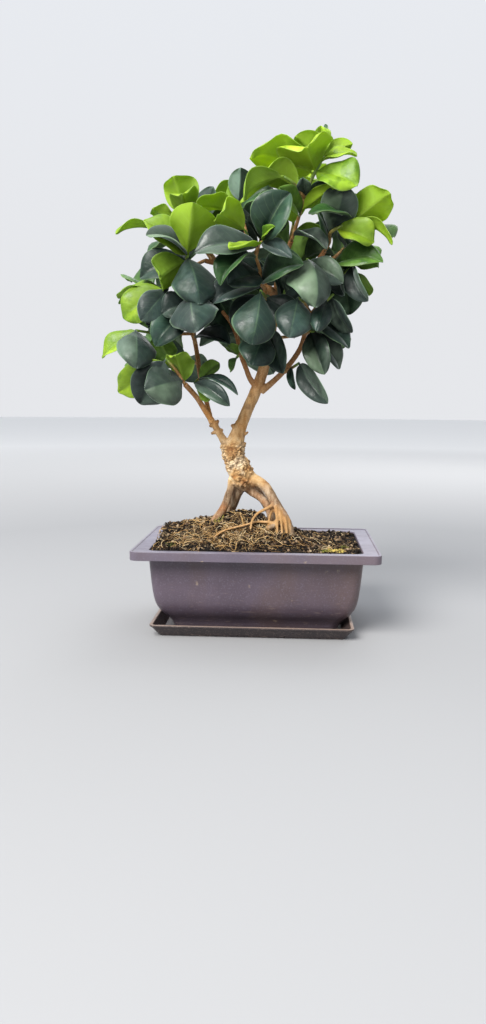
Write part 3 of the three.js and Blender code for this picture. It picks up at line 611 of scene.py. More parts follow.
def rounded_ring(half_x, half_y, corner, z, arc_parts=8, side_parts=1):
    """A rectangle with rounded corners, counted anticlockwise seen from above."""
    ring = []
    for index, (sx, sy) in enumerate([(1, 1), (-1, 1), (-1, -1), (1, -1)]):
        for k in range(arc_parts + 1):
            angle = math.radians(90 * index + 90 * k / arc_parts)
            x = sx * (half_x - corner) + corner * math.cos(angle)
            y = sy * (half_y - corner) + corner * math.sin(angle)
            ring.append((x, y, z))
        run = 2 * ((half_x if index % 2 == 0 else half_y) - corner)
        way = [(-1, 0), (0, -1), (1, 0), (0, 1)][index]
        x, y, _ = ring[-1]
        for k in range(1, side_parts):
            ring.append((x + way[0] * run * k / side_parts, y + way[1] * run * k / side_parts, z))
    return np.array(ring)


def pot_ring(row, inset=0.0, arc_parts=8, side_parts=1):
    half, z, corner = row
    return rounded_ring(half - inset, half - POT_NARROWER - inset, corner, z, arc_parts, side_parts)


def add_soft_edges(piece, width):
    bevel = piece.modifiers.new("edges", "BEVEL")
    bevel.width = width * MM
    bevel.segments = 3
    bevel.limit_method = "ANGLE"
    bevel.angle_limit = math.radians(30)
    bevel.harden_normals = False
    normals = piece.modifiers.new("normals", "WEIGHTED_NORMAL")
    normals.keep_sharp = True


def make_pot():
    """The pot as one closed body, from its underside over the rim and down to its inner floor."""
    outside = smooth_rows(POT_OUTSIDE[1:], 4)
    inside = smooth_rows(POT_INSIDE, 2)
    rows = [POT_OUTSIDE[0], *outside, *POT_RIM, *inside, POT_INNER_FLOOR]
    points = np.concatenate([pot_ring(row) for row in rows])
    sides = len(points) // len(rows)
    # The pale colour serves as dust and as painted light on the rim.
    body, warm, dust_and_light = (0.095, 0.072, 0.096), (0.135, 0.086, 0.070), (0.24, 0.228, 0.30)
    material = plastic_material("pot_plastic", body, warm, dust_and_light, 0.36, RIM_UNDERSIDE - 0.1)
    pot = make_piece("dressed_pot", points, ring_faces(len(rows), sides), [material])
    add_soft_edges(pot, 0.45)
    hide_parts("pot")


def make_tray():
    half = TRAY_WIDTH / 2
    narrower = (TRAY_WIDTH - TRAY_DEPTH) / 2
    lip = 0.9
    lip_underside = TRAY_HEIGHT - 1.6
    base_inset = 7.1
    rows = [
        (half - base_inset, 0, 4),
        (half - lip, lip_underside, 4.6),
        (half, lip_underside, 5.5),
        (half, TRAY_HEIGHT, 5.5),
        (half - lip - TRAY_WALL, TRAY_HEIGHT, 3.4),
        (half - base_inset - TRAY_WALL, TRAY_FLOOR, 3),
    ]
    rings = [rounded_ring(hx, hx - narrower, corner, z) for hx, z, corner in rows]
    points = np.concatenate(rings) + np.array(TRAY_SHIFT)
    # The pale colour serves as dust and as painted light on the lip.
    body, warm, dust_and_light = (0.034, 0.026, 0.029), (0.062, 0.041, 0.033), (0.42, 0.31, 0.25)
    material = plastic_material("tray_plastic", body, warm, dust_and_light, 0.34, TRAY_HEIGHT - 0.3)
    faces = ring_faces(len(rows), len(rings[0]))
    tray = make_piece("dressed_tray", points, faces, [material])
    add_soft_edges(tray, 0.4)
    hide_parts("drip_tray")


# Wood

# Rows of x, y, z and radius along each limb.
THICK_LIMBS = [
    # lower trunk
    [(-10.7, 0, 113.6, 4.2), (-12.2, 0, 118, 7.8), (-14.3, 0, 123, 10), (-15.8, 0, 129, 10.3),
     (-18.2, 0, 134.5, 9.8), (-21.3, 0, 140.5, 9), (-22.5, 0, 147, 9.4), (-23.5, 0, 152, 8.8)],
    # left root leg, with a darker strand behind it
    [(-19, 0, 126.5, 6), (-22.8, -1, 121, 4), (-24.1, -1, 115.4, 3.2), (-26.1, -1, 109, 3.3),
     (-28, -2, 103, 3.4), (-30.5, -3, 97, 3.5), (-34.5, -3, 91, 3.8), (-40, -4, 84, 3.4),
     (-46, -5, 74, 2.6)],
    [(-15, 5, 118, 5.6), (-18.8, 7, 110, 4.2), (-21.5, 9, 103, 4), (-24.5, 11, 96, 3.9),
     (-28, 13, 88, 3.8), (-33, 16, 74, 3)],
    # right root leg, the outer and the inner strand
    [(-6.4, -1, 123, 6), (-0.1, -3, 121.2, 4.6), (5.8, -6, 117.3, 4.3), (10.1, -9, 111.8, 4.1),
     (13.4, -11, 105.9, 4.2), (17.1, -13, 99.5, 4.5), (21, -15, 93, 4.8), (24.4, -16, 86.5, 4.8),
     (27.5, -17, 77, 4.2), (30, -18, 62, 3)],
    [(-10.3, 3, 116.4, 5.2), (-5, 2, 111.2, 3.7), (1.1, 1, 107.3, 3.3), (6.2, -2, 102.6, 3.2),
     (9.4, -4, 97, 3.3), (11, -6, 91, 3.3), (12, -7, 82, 3)],
    # root that runs back from the right leg
    [(-8, 8, 118, 5), (2, 18, 105, 3.8), (10, 28, 90, 3.6), (17, 37, 73, 3.4), (22, 42, 58, 2.4)],
    # right main branch
    [(-22, 0, 150, 8.4), (-17.5, 2, 165, 6), (-14.3, 3, 173, 5.1), (-10.8, 4, 182, 4.9),
     (-6.8, 5, 191, 4.9), (-1, 5, 205, 4.8), (4, 5, 221, 4.4), (8, 6, 238, 3.9), (11, 8, 260, 3.4),
     (12, 6, 280, 3)],
]
TWIGS = [
    # left main branch and its two twigs
    [(-24, 0, 146, 6), (-29, -1, 154, 3.8), (-34, -4, 162.5, 3), (-37.5, -7, 169, 2.8),
     (-41.2, -10, 175, 2.6), (-46, -14, 183, 2.4), (-52, -20, 193, 2.2), (-60, -30, 203, 2.2)],
    [(-40, -10, 171, 2.4), (-43.5, -7, 184, 2.1), (-47, -5, 197, 2.1), (-51, -2, 213, 2.1),
     (-54, 0, 232, 2), (-58, 0, 247, 2), (-69, -6, 258, 1.9), (-80, -14, 267, 1.8)],
    # left twig of the right branch
    [(-3, 5, 202, 3), (-8, 1, 208, 2.4), (-12, -4, 218, 2.1), (-16, -8, 229, 2), (-19, -12, 243, 1.8),
     (-24, -14, 254, 1.7), (-31, -16, 263, 1.5)],
    # right twig of the right branch
    [(1, 5, 198, 3.2), (12, 2, 207, 2.5), (23, -4, 218, 2.3), (33, -10, 232, 2.2), (37, -14, 244, 2),
     (38, -16, 253, 1.9)],
    # upper wood inside the crown
    [(12, 6, 278, 3.2), (16, 2, 296, 2.6), (21, -6, 310, 2.2), (25, -14, 319, 2)],
    [(11, 8, 258, 3), (28, 14, 281, 2.6), (43, 14, 301, 2.3), (53, 8, 315, 2)],
    [(12, 6, 278, 3), (-7, 10, 294, 2.5), (-28, 8, 302, 2.2), (-47, 0, 306, 2)],
    # stub that was cut back
    [(12, 6, 278, 3.2), (9, -12, 280, 3.4), (6, -25, 279, 3.8)],
]
# Buds and pruning scars
SCARS = [
    [(-17, 0, 152, 4), (-13, -1, 152.5, 1.8), (-11.2, -1, 154.5, 1)],
    [(-17, 1, 162, 4), (-11.8, 0, 162, 1.4), (-9.5, 0, 163.8, 0.8)],
    [(-37, -6, 170, 2.4), (-34.6, -8, 173.5, 1.2)],
    [(-34, -4, 162.5, 2.4), (-31.2, -5, 166, 1.1)],
    [(-36, -4, 164, 2.4), (-41, -5, 161.8, 1)],
    [(-38, -6, 169, 2.4), (-42.3, -8, 168.6, 1)],
    [(-19.5, 1, 167, 3.6), (-24.3, 0, 169.4, 1)],
    [(-10, 2, 184.5, 3.4), (-9.8, -1.4, 184.9, 2.3)],
    [(-13, -2, 134.5, 4), (-6.8, -4, 133.6, 1.4)],
    [(-12, 0, 131.5, 4), (-4.9, -1, 131.6, 1.1)],
]
# Burls on the lower trunk
BURLS = [
    [(-21, -4, 145, 6), (-25, -8, 143.5, 2.8)],
    [(-16, -5, 130, 7), (-13, -9.5, 127, 3)],
    [(-16, -5, 124, 6), (-19.5, -9.5, 126, 2.8)],
    [(-17, 5, 128, 7), (-14, 12, 129, 3.2)],
]
# Thin roots that come down over the right leg and spread over the soil
THIN_ROOTS = [
    [(15, -13, 104.5, 2.6), (10.3, -17, 101.2, 1.7), (5, -20, 98.9, 1.3), (-0.3, -21, 95.8, 1.2),
     (-3.6, -22, 91.5, 1.1), (-5.1, -23, 87, 1), (-5.8, -25, 79, 0.9)],
    [(20, -14, 91, 2.6), (16.8, -18, 89.9, 2.2), (13.6, -20, 88, 1.5), (8.1, -19, 88.6, 1.3),
     (-1, -18, 88.4, 1.1), (-11, -22, 86, 1), (-20.5, -25, 84, 0.9), (-28.6, -28, 81.6, 0.9),
     (-36, -33, 77, 0.8)],
    [(20, -14, 89, 2.8), (16, -19, 87, 2.4), (12.4, -21, 85.5, 2.2), (7.8, -21, 83.6, 1.7)],
    [(15, -13, 104, 2.6), (15.6, -17.5, 100, 1.6), (16, -19.5, 95, 1.2), (16.7, -21, 89, 1.1),
     (17, -23, 80, 1)],
    [(17, -13, 102, 2.6), (19.1, -19, 95.5, 1.4), (20.3, -21.5, 88, 1.1), (21, -24, 79, 1)],
    [(13, -12, 104, 2.6), (11.5, -15, 97.2, 1.4), (9.9, -17, 91.5, 1.1), (9, -20, 82, 1)],
    [(20, -15, 97, 3), (23, -20, 92, 1.6), (24.3, -22, 87, 1.2), (25, -25, 78, 1)],
]
WOOD_VOXEL = 0.62
LUMP_COUNT = 170
FLAKE_SIZE = 3.4
CREASE_WIDTH = 0.45
# Heights over which the look of the wood changes
THIN_ROOTS_END = (104, 112)
FLAKES_BEGIN = (112, 120)
FLAKES_END = (150, 158)
LOWER_BARK_BEGINS = (112, 125)
UPPER_BARK_BEGINS = (148, 168)
TWIG_BARK_BEGINS = (150, 200)


def merged_volume(points, faces, voxel):
    """One closed skin round all the closed bodies: its points, their normals and its faces."""
    mesh = bpy.data.meshes.new("wood")
    mesh.from_pydata(points.tolist(), [], faces)
    helper = linked("wood", mesh)
    remesh = helper.modifiers.new("skin", "REMESH")
    remesh.mode = "VOXEL"
    remesh.voxel_size = voxel
    graph = bpy.context.evaluated_depsgraph_get()
    skin = bpy.data.meshes.new_from_object(helper.evaluated_get(graph))
    bpy.data.objects.remove(helper)
    made = np.empty(len(skin.vertices) * 3, np.float32)
    skin.vertices.foreach_get("co", made)
    normals = np.empty(len(skin.vertices) * 3, np.float32)
    skin.vertices.foreach_get("normal", normals)
    quads = [tuple(polygon.vertices) for polygon in skin.polygons]
    bpy.data.meshes.remove(skin)
    return made.reshape(-1, 3).astype(float), normals.reshape(-1, 3).astype(float), quads


def lumps_of_trunk(rng):
    """Short knobs that stand on the lower trunk like flakes and old buds."""
    lumps = []
    axis = smooth_rows(THICK_LIMBS[0][1:], 6)
    for _ in range(LUMP_COUNT):
        x, y, z, radius = axis[rng.integers(len(axis))]
        angle = rng.uniform(0, 2 * math.pi)
        out = np.array([math.cos(angle), math.sin(angle), rng.uniform(-0.35, 0.35)])
        side = np.array([-math.sin(angle), math.cos(angle), rng.normal(0, 0.4)])
        middle = np.array([x, y, z]) + out * (radius - 0.4)
        reach = side * rng.uniform(0.6, 2.6)
        size = rng.uniform(0.7, 1.5)
        start, top, end = middle - reach, middle + out * 0.5, middle + reach
        lumps.append([(*start, size * 0.7), (*top, size), (*end, size * 0.6)])
    return lumps


def bark_height(place, lumpy, grainy):
    """How far the bark stands out at a place, in millimetres, and how far it is from a crease, up to 1."""
    x, y, z = place
    bent = Vector(place) + 1.6 * noise.noise_vector(Vector(place) / 5.0)
    cell, _ = noise.voronoi(Vector((bent.x, bent.y, bent.z * 1.8)) / FLAKE_SIZE)
    crease = min(cell[1] - cell[0], CREASE_WIDTH) / CREASE_WIDTH
    height = lumpy * (1.25 * crease ** 0.7 - 0.9)
    height += lumpy * 0.75 * noise.fractal(Vector((x, y, z)) / 1.9, 0.7, 2.1, 3)
    height += grainy * 0.5 * noise.fractal(Vector((x / 2.2, y / 2.2, z / 9)), 0.9, 2.0, 3)
    height += 0.16 * noise.noise(Vector((x, y, z)) / 0.9)
    return height, crease


def tree_of(points):
    """A search tree through the given points."""
    tree = KDTree(len(points))
    for index, point in enumerate(points):
        tree.insert(point, index)
    tree.balance()
    return tree


def nearest_radius(places, limbs):
    """For each place, the radius of the limb whose axis is nearest."""
    rows = np.concatenate([smooth_rows(limb, 6) for limb in limbs])
    tree = tree_of(rows[:, :3])
    return np.array([rows[tree.find(p)[1]][3] for p in places])


def wood_body(rng):
    """All the limbs, twigs, knobs and thin roots in one skin."""
    limbs = Builder()
    for rows in THICK_LIMBS:
        limbs.add_tube(rows, 20, 5)
    for rows in TWIGS + SCARS + BURLS + THIN_ROOTS + lumps_of_trunk(rng):
        limbs.add_tube(rows, 12, 4)
    return merged_volume(np.concatenate(limbs.points), limbs.faces, WOOD_VOXEL)


def make_wood():
    """The wood with flaked bark on the lower trunk and fine grain elsewhere. The numbers for its material
    are taken from the height and from the radius of the limb."""
    places, normals, quads = wood_body(np.random.default_rng(SEED))
    z = places[:, 2].copy()
    radii = nearest_radius(places, THICK_LIMBS + TWIGS + THIN_ROOTS)
    scars = tree_of([rows[-1][:3] for rows in SCARS])
    scar = 1 - smoothstep(1.2, 3.2, np.array([scars.find(p)[2] for p in places]))
    high = smoothstep(*UPPER_BARK_BEGINS, z)
    trunk = smoothstep(*FLAKES_BEGIN, z) * (1 - smoothstep(*FLAKES_END, z))
    trunk = trunk * smoothstep(5, 7.5, nearest_radius(places, THICK_LIMBS))
    grainy = (0.3 + 0.7 * smoothstep(2.6, 6.5, radii)) * (1 - 0.7 * trunk) * (1 - 0.4 * high)
    crevices = np.zeros(len(places))
    for index, place in enumerate(places):
        height, crease = bark_height(place, trunk[index], grainy[index])
        places[index] += normals[index] * height
        crevices[index] = trunk[index] * max(0.0, 1 - crease * 1.5)
    crevices = np.maximum(crevices, 0.7 * scar)
    z = places[:, 2]
    zone = 0.5 * smoothstep(*LOWER_BARK_BEGINS, z) + 0.5 * high
    thin = (1 - smoothstep(2.0, 4.2, radii)) * smoothstep(*TWIG_BARK_BEGINS, z)
    thin = thin - (1 - smoothstep(1.2, 2.6, radii)) * (1 - smoothstep(*THIN_ROOTS_END, z))
    bark = np.stack([zone, crevices, thin], axis=1)
    trunk_piece = make_piece("dressed_trunk", places, quads, [bark_material()], {"bark": bark})
    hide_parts("trunk")


# Soil

SOIL_EDGE = 69.4
# Each heap: x, y, height, spread in x, spread in y
SOIL_HEAPS = [
    (-40, 6, 18.5, 60, 38),
    (-10, -2, 12, 22, 24),
    (21, -8, 9, 20, 26),
]
SOIL_CENTRE = np.array([-18.0, 0.0])
POT_OPENING = POT_HALF - 13.8
SOIL_HALF_X = POT_OPENING - CLEARANCE
SOIL_HALF_Y = SOIL_HALF_X - POT_NARROWER
SOIL_RIM = SOIL_EDGE - 0.8
GROUND_RINGS = 48


def soil_height(x, y):
    """The height of the soil's solid."""
    z = SOIL_EDGE
    for heap_x, heap_y, height, spread_x, spread_y in SOIL_HEAPS:
        z = z + height * np.exp(-(((x - heap_x) / spread_x) ** 2) - ((y - heap_y) / spread_y) ** 2)
    return z + 0.9 * np.sin(x * 0.19 + 1.3) * np.cos(y * 0.23)


def ground_height(x, y):
    """The soil with its clods."""
    rough = noise.fractal(Vector((x / 5.5, y / 5.5, 0.3)), 0.8, 2.1, 5)
    return float(soil_height(x, y)) + 1.5 * rough - 0.6


def make_ground():
    """The soil as one closed body that fills the pot. Its top fades into its straight rim."""
    outermost = 0.985
    innermost = 0.02
    faded = 0.05
    side_rows = [POT_INNER_FLOOR, *reversed(POT_INSIDE), (POT_OPENING, SOIL_RIM, 7)]
    rings = [pot_ring(row, CLEARANCE, 4, 16) for row in side_rows]
    edge = rings[-1]
    for share in np.linspace(outermost, innermost, GROUND_RINGS):
        flat = SOIL_CENTRE + (edge[:, :2] - SOIL_CENTRE) * share
        heights = np.array([ground_height(x, y) for x, y in flat])
        fade = (1 - share) / faded
        if fade < 1:
            heights = SOIL_RIM + (heights - SOIL_RIM) * fade
        rings.append(np.column_stack([flat, heights]))
    points = np.concatenate(rings)
    ground = make_piece("ground", points, ring_faces(len(rings), len(edge)), [ground_material()])
    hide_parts("soil")


def crumb_shape():
    """The corners and faces of a rough twenty-sided bit."""
    golden = (1 + 5 ** 0.5) / 2
    corners = []
    for a in (-1, 1):
        for b in (-golden, golden):
            corners += [(0, a, b), (a, b, 0), (b, 0, a)]
    corners = np.array(corners) / math.hypot(1, golden)
    faces = []
    near = 1.06
    for i in range(12):
        for j in range(i + 1, 12):
            for k in range(j + 1, 12):
                spans = [np.linalg.norm(corners[a] - corners[b]) for a, b in ((i, j), (j, k), (i, k))]
                if max(spans) > near:
                    continue
                normal = np.cross(corners[j] - corners[i], corners[k] - corners[i])
                faces.append((i, j, k) if normal.dot(corners[i]) > 0 else (i, k, j))
    return corners, faces


def random_turn(rng):
    """A matrix that turns bits any way round, without mirroring them."""
    turn, _ = np.linalg.qr(rng.normal(size=(3, 3)))
    if np.linalg.det(turn) < 0:
        turn[:, 0] *= -1
    return turn


def random_spot(rng, inset):
    x = rng.uniform(-SOIL_HALF_X + inset, SOIL_HALF_X - inset)
    y = rng.uniform(-SOIL_HALF_Y + inset, SOIL_HALF_Y - inset)
    return x, y


def kept_in_pot(x, y, inset=1.5):
    """The place, moved in from the pot's wall if it is nearer than the inset."""
    x = min(max(x, -SOIL_HALF_X + inset), SOIL_HALF_X - inset)
    y = min(max(y, -SOIL_HALF_Y + inset), SOIL_HALF_Y - inset)
    return x, y


CRUMB_COUNT = 6000
CRUMB_SMALLEST = 0.4
CRUMB_SPREAD = 1.7


def make_crumbs():
    """Loose crumbs on the soil, most of them small, dark and moist."""
    rng = np.random.default_rng(SEED + 1)
    corners, faces = crumb_shape()
    bits = Builder()
    for _ in range(CRUMB_COUNT):
        x, y = random_spot(rng, 1.2)
        size = CRUMB_SMALLEST + CRUMB_SPREAD * rng.random() ** 3.2
        rough = rng.uniform(0.65, 1.25, size=(12, 1))
        flatter = np.array([1, rng.uniform(0.6, 1), rng.uniform(0.45, 0.9)])
        z = ground_height(x, y) + size * rng.uniform(-0.15, 0.45)
        looks = (rng.random() ** 1.5, rng.random() ** 6, rng.random())
        points = corners * rough * flatter @ random_turn(rng).T * size + np.array([x, y, z])
        bits.add(points, faces, bit=looks)
    bits.piece("crumbs", "soil", [litter_material("crumbs", CRUMB_STOPS, 0.95)])


FIBRE_COUNT = 1200
FIBRE_LENGTHS = (4, 22)
FIBRE_THINNEST = 0.08
FIBRE_SPREAD = 0.25
# Where straw and root fibres lie thickest: x, y, spread, share
FIBRE_PLACES = [
    (-36, -27, 18, 0.36),
    (-8, -28, 14, 0.17),
    (14, -24, 8, 0.09),
    (-52, -6, 14, 0.05),
    (50, -24, 18, 0.10),
]


def fibre_rows(rng, x, y, length, radius):
    """A thin strand that lies on the soil and lifts a little here and there."""
    heading = rng.normal(math.pi, 1.0)
    curl = rng.normal(0, 0.16)
    count = 7
    rows = []
    lift = rng.uniform(0.1, 0.9)
    for share in np.arange(count) / (count - 1):
        x, y = kept_in_pot(x, y)
        z = ground_height(x, y) + lift + 1.1 * math.sin(math.pi * share) * rng.random()
        rows.append((x, y, z, radius * (1 - 0.55 * share)))
        heading += curl + rng.normal(0, 0.22)
        x += math.cos(heading) * length / count
        y += math.sin(heading) * length / count
    return rows


def make_fibres():
    """Straw and root fibres, some strewn all over and the rest round their places."""
    rng = np.random.default_rng(SEED + 2)
    strands = Builder()
    for _ in range(FIBRE_COUNT):
        pick = rng.random()
        x, y = random_spot(rng, 2.0)
        for place_x, place_y, spread, share in FIBRE_PLACES:
            if pick < share:
                x = rng.normal(place_x, spread)
                y = rng.normal(place_y, spread * 0.7)
                break
            pick -= share
        length = rng.uniform(*FIBRE_LENGTHS)
        radius = FIBRE_THINNEST + FIBRE_SPREAD * rng.random() ** 2.2
        rows = fibre_rows(rng, x, y, length, radius)
        strands.add_tube(rows, 5, 2, bit=(rng.random() ** 1.5, rng.random() ** 2, 0))
    strands.piece("fibres", "soil", [litter_material("fibres", FIBRE_STOPS, 0.7)])


# Moss patches: x, y, radius, count of tufts, shade
MOSS_PATCHES = [
    (64, -46, 8, 150, 0.82),
    (56, -50, 4, 50, 0.5),
    (-34, -6.5, 4.5, 46, 0.66),
    (74, -30, 4, 30, 0.35),
    (-70, -44, 4, 30, 0.2),
]
MOSS_HEIGHTS = (0.9, 2.4)


def make_moss():
    """Patches of short tufts that lean each its own way."""
    rng = np.random.default_rng(SEED + 3)
    tufts = Builder()
    for centre_x, centre_y, radius, count, shade in MOSS_PATCHES:
        for _ in range(count):
            away = radius * math.sqrt(rng.random())
            angle = rng.uniform(0, 2 * math.pi)
            x, y = kept_in_pot(centre_x + away * math.cos(angle), centre_y + away * math.sin(angle))
            z = ground_height(x, y)
            lean_x, lean_y = rng.normal(0, 0.5, size=2)
            height = rng.uniform(*MOSS_HEIGHTS)
            rows = [
                (x, y, z - 0.3, 0.5),
                (x + lean_x * 0.5, y + lean_y * 0.5, z + height * 0.55, 0.42),
                (x + lean_x, y + lean_y, z + height, 0.1),
            ]
            tufts.add_tube(rows, 5, 1, bit=(np.clip(rng.normal(shade, 0.18), 0, 1), 0, 0))
    tufts.piece("moss", "soil", [litter_material("moss", MOSS_STOPS)])


# Leaves

def unit(vector):
    return vector / np.linalg.norm(vector)


USUAL_SHAPE = 1.05


def blade_share(u, shape):
    """Half width of the blade as a share of its widest, at places from 0 at the stem to 1 at the tip."""
    u = np.asarray(u, dtype=float)
    along = np.clip((u - 0.06) / 0.94, 0, 1)
    return np.maximum(np.sin(math.pi * along ** shape), 0) ** (0.6 + 0.3 * u ** 3)


TO_VIEWER = unit(np.array([0.04, -0.99, -0.12]))


def face_from_turn(base, tip, turn):
    """Where the upper side looks: 0 faces the viewer, 180 turns the underside to the viewer."""
    chord = unit(tip - base)
    front = unit(TO_VIEWER - chord * TO_VIEWER.dot(chord))
    return turned(front, np.cross(chord, front), math.radians(turn))


class Blade:
    """The bent and cupped surface that a leaf lies on."""

    def __init__(self, leaf):
        chord = leaf["tip"] - leaf["base"]
        span = np.linalg.norm(chord)
        chord = chord / span
        up = unit(leaf["face"] - chord * leaf["face"].dot(chord))
        self.arch = math.radians(leaf["arch"] if abs(leaf["arch"]) >= 1 else 1)
        self.cup = math.radians(leaf["cup"])
        self.base = leaf["base"]
        self.length = span * (self.arch / 2) / math.sin(self.arch / 2)
        self.along = turned(chord, up, self.arch / 2)
        self.up = turned(up, -chord, self.arch / 2)
        self.side = np.cross(chord, up)

    def at(self, u, v, half, lift):
        """Points at places u along and v across, with this half width and lifted by this much."""
        bend = (self.arch * u)[:, None]
        middle = self.base + self.along * self.length * np.sin(bend) / self.arch
        middle = middle - self.up * self.length * (1 - np.cos(bend)) / self.arch
        normal = self.up * np.cos(bend) + self.along * np.sin(bend)
        sideways = v * half * math.cos(self.cup)
        rise = np.abs(v) * half * math.sin(self.cup)
        return middle + self.side * sideways[:, None] + normal * (rise + lift)[:, None]


